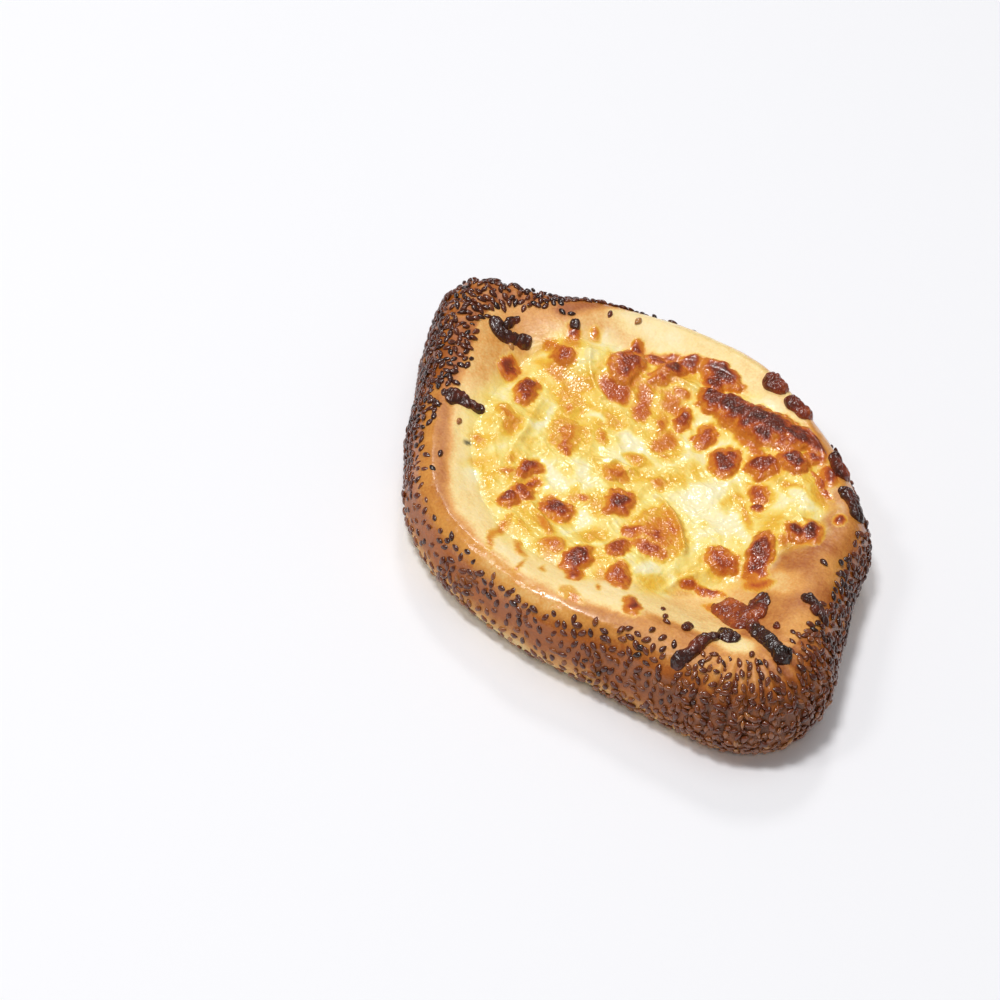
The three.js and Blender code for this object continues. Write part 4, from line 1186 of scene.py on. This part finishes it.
    @staticmethod
    def make(name, chosen, lies, heading, tone, look, rng, material):
        """One joined mesh of the chosen seeds, each turned, tilted and sized a little."""
        here, outward, along = (part[chosen] for part in lies)
        heading, tone = heading[chosen][:, None], tone[chosen]
        count = len(tone)
        shape, faces, rim, tip = seed_shape()
        up = np.cross(outward, along)
        forward = along * np.cos(heading) + up * np.sin(heading)
        forward = unit(forward + outward * rng.normal(0, SEED_SPREAD["tilt"], (count, 1)))
        side = np.cross(outward, forward)
        side = unit(side + outward * rng.normal(0, SEED_SPREAD["roll"], (count, 1)))
        top = np.cross(forward, side)
        size = rng.normal(1, SEED_SPREAD["size"], (count, 1, 1))
        scale = np.array([look.length, look.width, look.thickness]) / MM
        local = shape[None] * scale * size
        high = rng.normal(SEED_HEIGHT, SEED_SPREAD["height"], (count, 1))
        deeper = NEAR_WALL_SUNK * smoothstep(-here[:, 1:2], *NEAR_WALL)
        sit = here + outward * (high - deeper)
        points = (sit[:, None] + local[..., :1] * forward[:, None]
                  + local[..., 1:2] * side[:, None] + local[..., 2:] * top[:, None])
        points[..., 2] += np.maximum(SEED_FLOOR_GAP - points[..., 2].min(1), 0)[:, None]
        shift = np.arange(count)[:, None, None] * len(shape)
        joined = [(f[None] + shift).reshape(-1, f.shape[1]) for f in faces]
        shade = tone[:, None] - 0.14 * rim[None] ** 4 + 0.16 * tip[None] ** 3
        new_piece(name, points.reshape(-1, 3), joined, {"tone": shade}, material, "sesame",
                  "bread")


class SIMIT_OT_cheese(bpy.types.Operator):
    """Lays the melted cheese as a square grid rounded to the cheese's outline, closed beneath"""
    bl_idname = "simit.cheese"
    bl_label = "Melted cheese"

    def execute(self, context):
        look = context.scene.simit_cheese
        count = look.across
        side = np.linspace(-1, 1, count)
        u, v = np.meshgrid(side, side)
        disc_x, disc_y = u * np.sqrt(1 - v * v / 2), v * np.sqrt(1 - u * u / 2)
        angle, share = np.arctan2(disc_y, disc_x), np.hypot(disc_x, disc_y)
        reach = cheese_radius(angle) * share
        x, y = reach * np.cos(angle), reach * np.sin(angle)
        z, bake = cheese_surface(x, y)
        points = np.stack([x, y, z], -1).reshape(-1, 3)
        index = np.arange(count * count).reshape(count, count)
        quads = np.stack([index[:-1, :-1], index[:-1, 1:], index[1:, 1:], index[1:, :-1]], -1)
        border = np.concatenate([index[0, :-1], index[:-1, -1], index[-1, :0:-1],
                                 index[:0:-1, 0]])
        under_x = np.outer(UNDER_RINGS, x.ravel()[border]).ravel()
        under_y = np.outer(UNDER_RINGS, y.ravel()[border]).ravel()
        sunk = dough_height_at(under_x, under_y) - CHEESE_ROOT
        under = np.stack([under_x, under_y, sunk], 1)
        pole = len(points) + len(under)
        rings = [border, *np.arange(len(points), pole).reshape(len(UNDER_RINGS), -1)]
        walls = [np.stack([a, b, np.roll(b, -1), np.roll(a, -1)], 1)
                 for a, b in zip(rings[:-1], rings[1:])]
        faces = [quads.reshape(-1, 4), *walls, pole_faces(pole, rings[-1], flip=True)]
        points = np.concatenate([points, under, [[0, 0, DISH_FLOOR - CHEESE_ROOT]]])
        marks = {"bake": bake, "toast": dough_toast(x, y, z), "film": cheese_film(x, y),
                 "speck": speck_mask(x, y)}
        marks = {key: np.append(values.ravel(), np.zeros(len(under) + 1))
                 for key, values in marks.items()}
        new_piece("melted_cheese", points, faces, marks, cheese_material(),
                  "melted_cheese", "cheese")
        return {"FINISHED"}


def strip_shape(path, width, thickness, sides=14, stations=26):
    """A closed wavy strip along a curve through the path's points: an elliptical section whose
    lower half is sunk, its width and height uneven by noise, drawn in to round ends."""
    path = np.array(path, float)
    run = np.append(0, np.cumsum(np.linalg.norm(np.diff(path, axis=0), axis=1)))
    share = np.linspace(0, 1, stations)
    middle = np.stack([smooth_through(run / run[-1], path[:, k], share) for k in (0, 1)], 1)
    ahead = unit(np.gradient(middle, axis=0))
    rounding = width * 0.6 / run[-1]
    ends = np.clip(np.minimum(share, 1 - share) / rounding, 0, 1)
    draw_in = np.sqrt(1 - (1 - ends) ** 2)
    uneven = 0.75 + 0.5 * fractal(middle[:, 0], middle[:, 1], 0, 3.2, 2, 95)
    turn = np.arange(sides) / sides * 2 * math.pi
    across = np.outer(draw_in * uneven, np.cos(turn)) * width / 2
    lift = np.outer(draw_in * uneven, np.sin(turn))
    x = middle[:, :1] - ahead[:, 1:] * across
    y = middle[:, 1:] + ahead[:, :1] * across
    z = rests_on(x, y) + np.where(lift > 0, lift * thickness, lift * SHRED_BURIED)
    points = np.stack([x, y, z], -1)[1:-1].reshape(-1, 3)
    poles = [[*middle[0], rests_on(*middle[0])], [*middle[-1], rests_on(*middle[-1])]]
    return np.concatenate([points, poles]), closed_faces(stations - 2, sides)


def smooth_through(places, values, wanted):
    """Values at the wanted places of a curve through the given ones: a cubic Hermite with the
    slopes of the neighbours."""
    slopes = np.gradient(values, places)
    part = np.clip(np.searchsorted(places, wanted, side="right") - 1, 0, len(places) - 2)
    width = places[part + 1] - places[part]
    t = (wanted - places[part]) / width
    return ((2 * t ** 3 - 3 * t ** 2 + 1) * values[part]
            + (t ** 3 - 2 * t ** 2 + t) * width * slopes[part]
            + (3 * t ** 2 - 2 * t ** 3) * values[part + 1]
            + (t ** 3 - t ** 2) * width * slopes[part + 1])


def rests_on(x, y):
    """Height of what lies under a shred: the cheese where there is some, else the dough."""
    x, y = np.asarray(x, float), np.asarray(y, float)
    dough = dough_height_at(x, y)
    covered = inset_from(cheese_radius, x, y) > 0
    return np.where(covered, np.maximum(dough, cheese_surface(x, y)[0]), dough)


class SIMIT_OT_shreds(bpy.types.Operator):
    """Lays the burnt shreds: strips fused to one skin each, then made bumpy"""
    bl_idname = "simit.shreds"
    bl_label = "Burnt shreds"

    def execute(self, context):
        material = burnt_material(context.scene.simit_shreds)
        for name, (strips, red, charred) in SHREDS.items():
            points, faces = np.empty((0, 3)), []
            for strip in strips:
                strip_points, strip_faces = strip_shape(*strip)
                faces.extend(f + len(points) for f in strip_faces)
                points = np.concatenate([points, strip_points])
            piece = new_piece("burnt_" + name, points, faces, {}, material, "burnt_cheese", name)
            fuse = piece.modifiers.new("Fuse", "REMESH")
            fuse.mode = "VOXEL"
            fuse.voxel_size = SHRED_VOXEL * MM
            fuse.use_smooth_shade = True
            self.bumpy(finished_mesh(piece), red, charred)
        return {"FINISHED"}

    @staticmethod
    def bumpy(mesh, red, charred):
        """Pushes the skin out by packed bubbles and noise, and marks how charred it is."""
        count = len(mesh.vertices)
        co, normal = np.empty(count * 3), np.empty(count * 3)
        mesh.vertices.foreach_get("co", co)
        mesh.vertex_normals.foreach_get("vector", normal)
        co, normal = co.reshape(-1, 3) / MM, normal.reshape(-1, 3)
        x, y, z = co.T
        push = (SHRED_LUMP_HEIGHT * (fractal(x, y, z, 2.6, 3, 97) - 0.5)
                + SHRED_BUBBLE_HEIGHT * (bubbles(x + 0.5 * z, y - 0.4 * z, 1.5, 99) - 0.55))
        above = np.clip(0.35 + normal[:, 2], 0, 1)
        co = co + normal * (push * above)[:, None]
        mesh.vertices.foreach_set("co", (co * MM).astype(np.float32).ravel())
        mesh.update()
        away = np.hypot(x - red[0], y - red[1])
        char = lerp(charred, SHRED_CHARRED, smoothstep(away, *SHRED_CHARRING))
        char = char + 0.6 * (fractal(x, y, z, 4.0, 2, 98) - 0.5)
        set_attribute(mesh, "char", char + 0.15 * above - 0.1)


# ---- Stage -------------------------------------------------------------------------------------

# Where the photograph's camera looks: the bread's middle lies this far right of and above the
# middle of the picture, and this far from the frame's origin.
PICTURE_OFFSET = (32.94, -4.2)
VIEW_ORIGIN = (-5.5, -0.36, 0.0)
# The lights: the setting and the share of it that gives their strength, their place along the
# picture's right and up and above the floor, and their size, in metres.
LIGHTS = {
    "Key": ("key", 1.0, (-0.55, -0.1, 2.0), 0.36),
    "Soft": ("soft", 1.0, (0.1, 0.3, 2.3), 1.5),
    "Back": ("key", 0.4, (0.15, 1.5, 1.7), 0.35),
    "Left": ("key", 0.34, (-1.45, -0.15, 1.9), 0.4),
    "Spark": ("key", 0.22, (-0.3, -1.3, 1.8), 0.3),
}
FLOOR_HALF_WIDTH = 3.0


class SIMIT_OT_stage(bpy.types.Operator):
    """Sets the pale floor, the soft light and the camera"""
    bl_idname = "simit.stage"
    bl_label = "Stage"

    def execute(self, context):
        look = context.scene.simit_stage
        scene = context.scene
        right, up, back = self.axes(look)
        self.camera(scene, look, right, up, back)
        self.floor()
        for name, (setting, share, place, size) in LIGHTS.items():
            self.light(name, getattr(look, setting) * share, place, size, right, up)
        world = bpy.data.worlds.new("White room")
        world.use_nodes = True
        background = world.node_tree.nodes["Background"]
        background.inputs["Color"].default_value = (1, 1, 1, 1)
        background.inputs["Strength"].default_value = look.fill
        scene.world = world
        scene.view_settings.view_transform = "Standard"
        scene.view_settings.look = "None"
        return {"FINISHED"}

    @staticmethod
    def axes(look):
        """The camera's right, up and back from its azimuth, elevation and roll."""
        az, el = look.azimuth, look.elevation
        back = Vector((math.sin(az) * math.cos(el), -math.cos(az) * math.cos(el), math.sin(el)))
        right = Vector((math.cos(az), math.sin(az), 0))
        up = back.cross(right)
        c, s = math.cos(look.roll), math.sin(look.roll)
        return c * right + s * up, c * up - s * right, back

    @staticmethod
    def camera(scene, look, right, up, back):
        """The camera, turned by its three axes and set back by its distance."""
        camera = bpy.data.objects.new("Camera", bpy.data.cameras.new("Camera"))
        scene.collection.objects.link(camera)
        camera.data.sensor_width = 36
        camera.data.lens = look.lens
        camera.data.clip_start, camera.data.clip_end = 0.05, 20
        place = (Vector(VIEW_ORIGIN) * MM - PICTURE_OFFSET[0] * MM * right
                 - PICTURE_OFFSET[1] * MM * up + look.distance * back)
        turn = Matrix((right, up, back)).transposed().to_4x4()
        camera.matrix_world = Matrix.Translation(place) @ turn
        scene.camera = camera

    @staticmethod
    def floor():
        """A wide pale floor under the bread."""
        mesh = bpy.data.meshes.new("floor")
        corners = [(a * FLOOR_HALF_WIDTH, b * FLOOR_HALF_WIDTH, 0)
                   for a, b in ((-1, -1), (1, -1), (1, 1), (-1, 1))]
        mesh.from_pydata(corners, [], [(0, 1, 2, 3)])
        floor = bpy.data.objects.new("floor", mesh)
        bpy.context.scene.collection.objects.link(floor)
        material = bpy.data.materials.new("White card")
        material.use_nodes = True
        shader = material.node_tree.nodes["Principled BSDF"]
        shader.inputs["Base Color"].default_value = srgb(246, 246, 249, 1)
        shader.inputs["Roughness"].default_value = 0.9
        shader.inputs["Specular IOR Level"].default_value = 0.1
        mesh.materials.append(material)

    @staticmethod
    def light(name, strength, place, size, right, up):
        """A square soft light that faces the bread, placed along the picture's right and up and
        above the floor."""
        lamp = bpy.data.lights.new(name, "AREA")
        lamp.energy = strength
        lamp.size = size
        holder = bpy.data.objects.new(name, lamp)
        bpy.context.scene.collection.objects.link(holder)
        flat_right = Vector((right.x, right.y, 0)).normalized()
        flat_up = Vector((up.x, up.y, 0)).normalized()
        spot = flat_right * place[0] + flat_up * place[1] + Vector((0, 0, place[2]))
        turn = spot.to_track_quat("Z", "Y").to_matrix().to_4x4()
        holder.matrix_world = Matrix.Translation(spot) @ turn


class SIMIT_PT_panel(bpy.types.Panel):
    """Lists the simit's pieces and their settings"""
    bl_idname = "SIMIT_PT_panel"
    bl_label = "Cheese simit"
    bl_space_type = "VIEW_3D"
    bl_region_type = "UI"
    bl_category = "Simit"

    def draw(self, context):
        for key, operator in STEPS:
            box = self.layout.box()
            box.operator(operator.bl_idname)
            settings = getattr(context.scene, key)
            for name in settings.__annotations__:
                box.prop(settings, name)


SETTINGS = {
    "simit_stage": StageSettings, "simit_crust": CrustSettings, "simit_seeds": SeedSettings,
    "simit_cheese": CheeseSettings, "simit_shreds": ShredSettings,
}
STEPS = [
    ("simit_stage", SIMIT_OT_stage), ("simit_crust", SIMIT_OT_crust),
    ("simit_seeds", SIMIT_OT_seeds), ("simit_cheese", SIMIT_OT_cheese),
    ("simit_shreds", SIMIT_OT_shreds),
]
CLASSES = [*SETTINGS.values(), *(operator for _, operator in STEPS), SIMIT_PT_panel]


def register():
    """Adds the settings, the operators and the panel."""
    for made in CLASSES:
        bpy.utils.register_class(made)
    for key, group in SETTINGS.items():
        setattr(bpy.types.Scene, key, PointerProperty(type=group))


def unregister():
    """Takes them away again."""
    for key in SETTINGS:
        delattr(bpy.types.Scene, key)
    for made in reversed(CLASSES):
        bpy.utils.unregister_class(made)


def main():
    """Builds everything in order."""
    register()
    bpy.ops.simit.stage()
    bpy.ops.simit.crust()
    bpy.ops.simit.seeds()
    bpy.ops.simit.cheese()
    bpy.ops.simit.shreds()


if __name__ == "__main__":
    main()
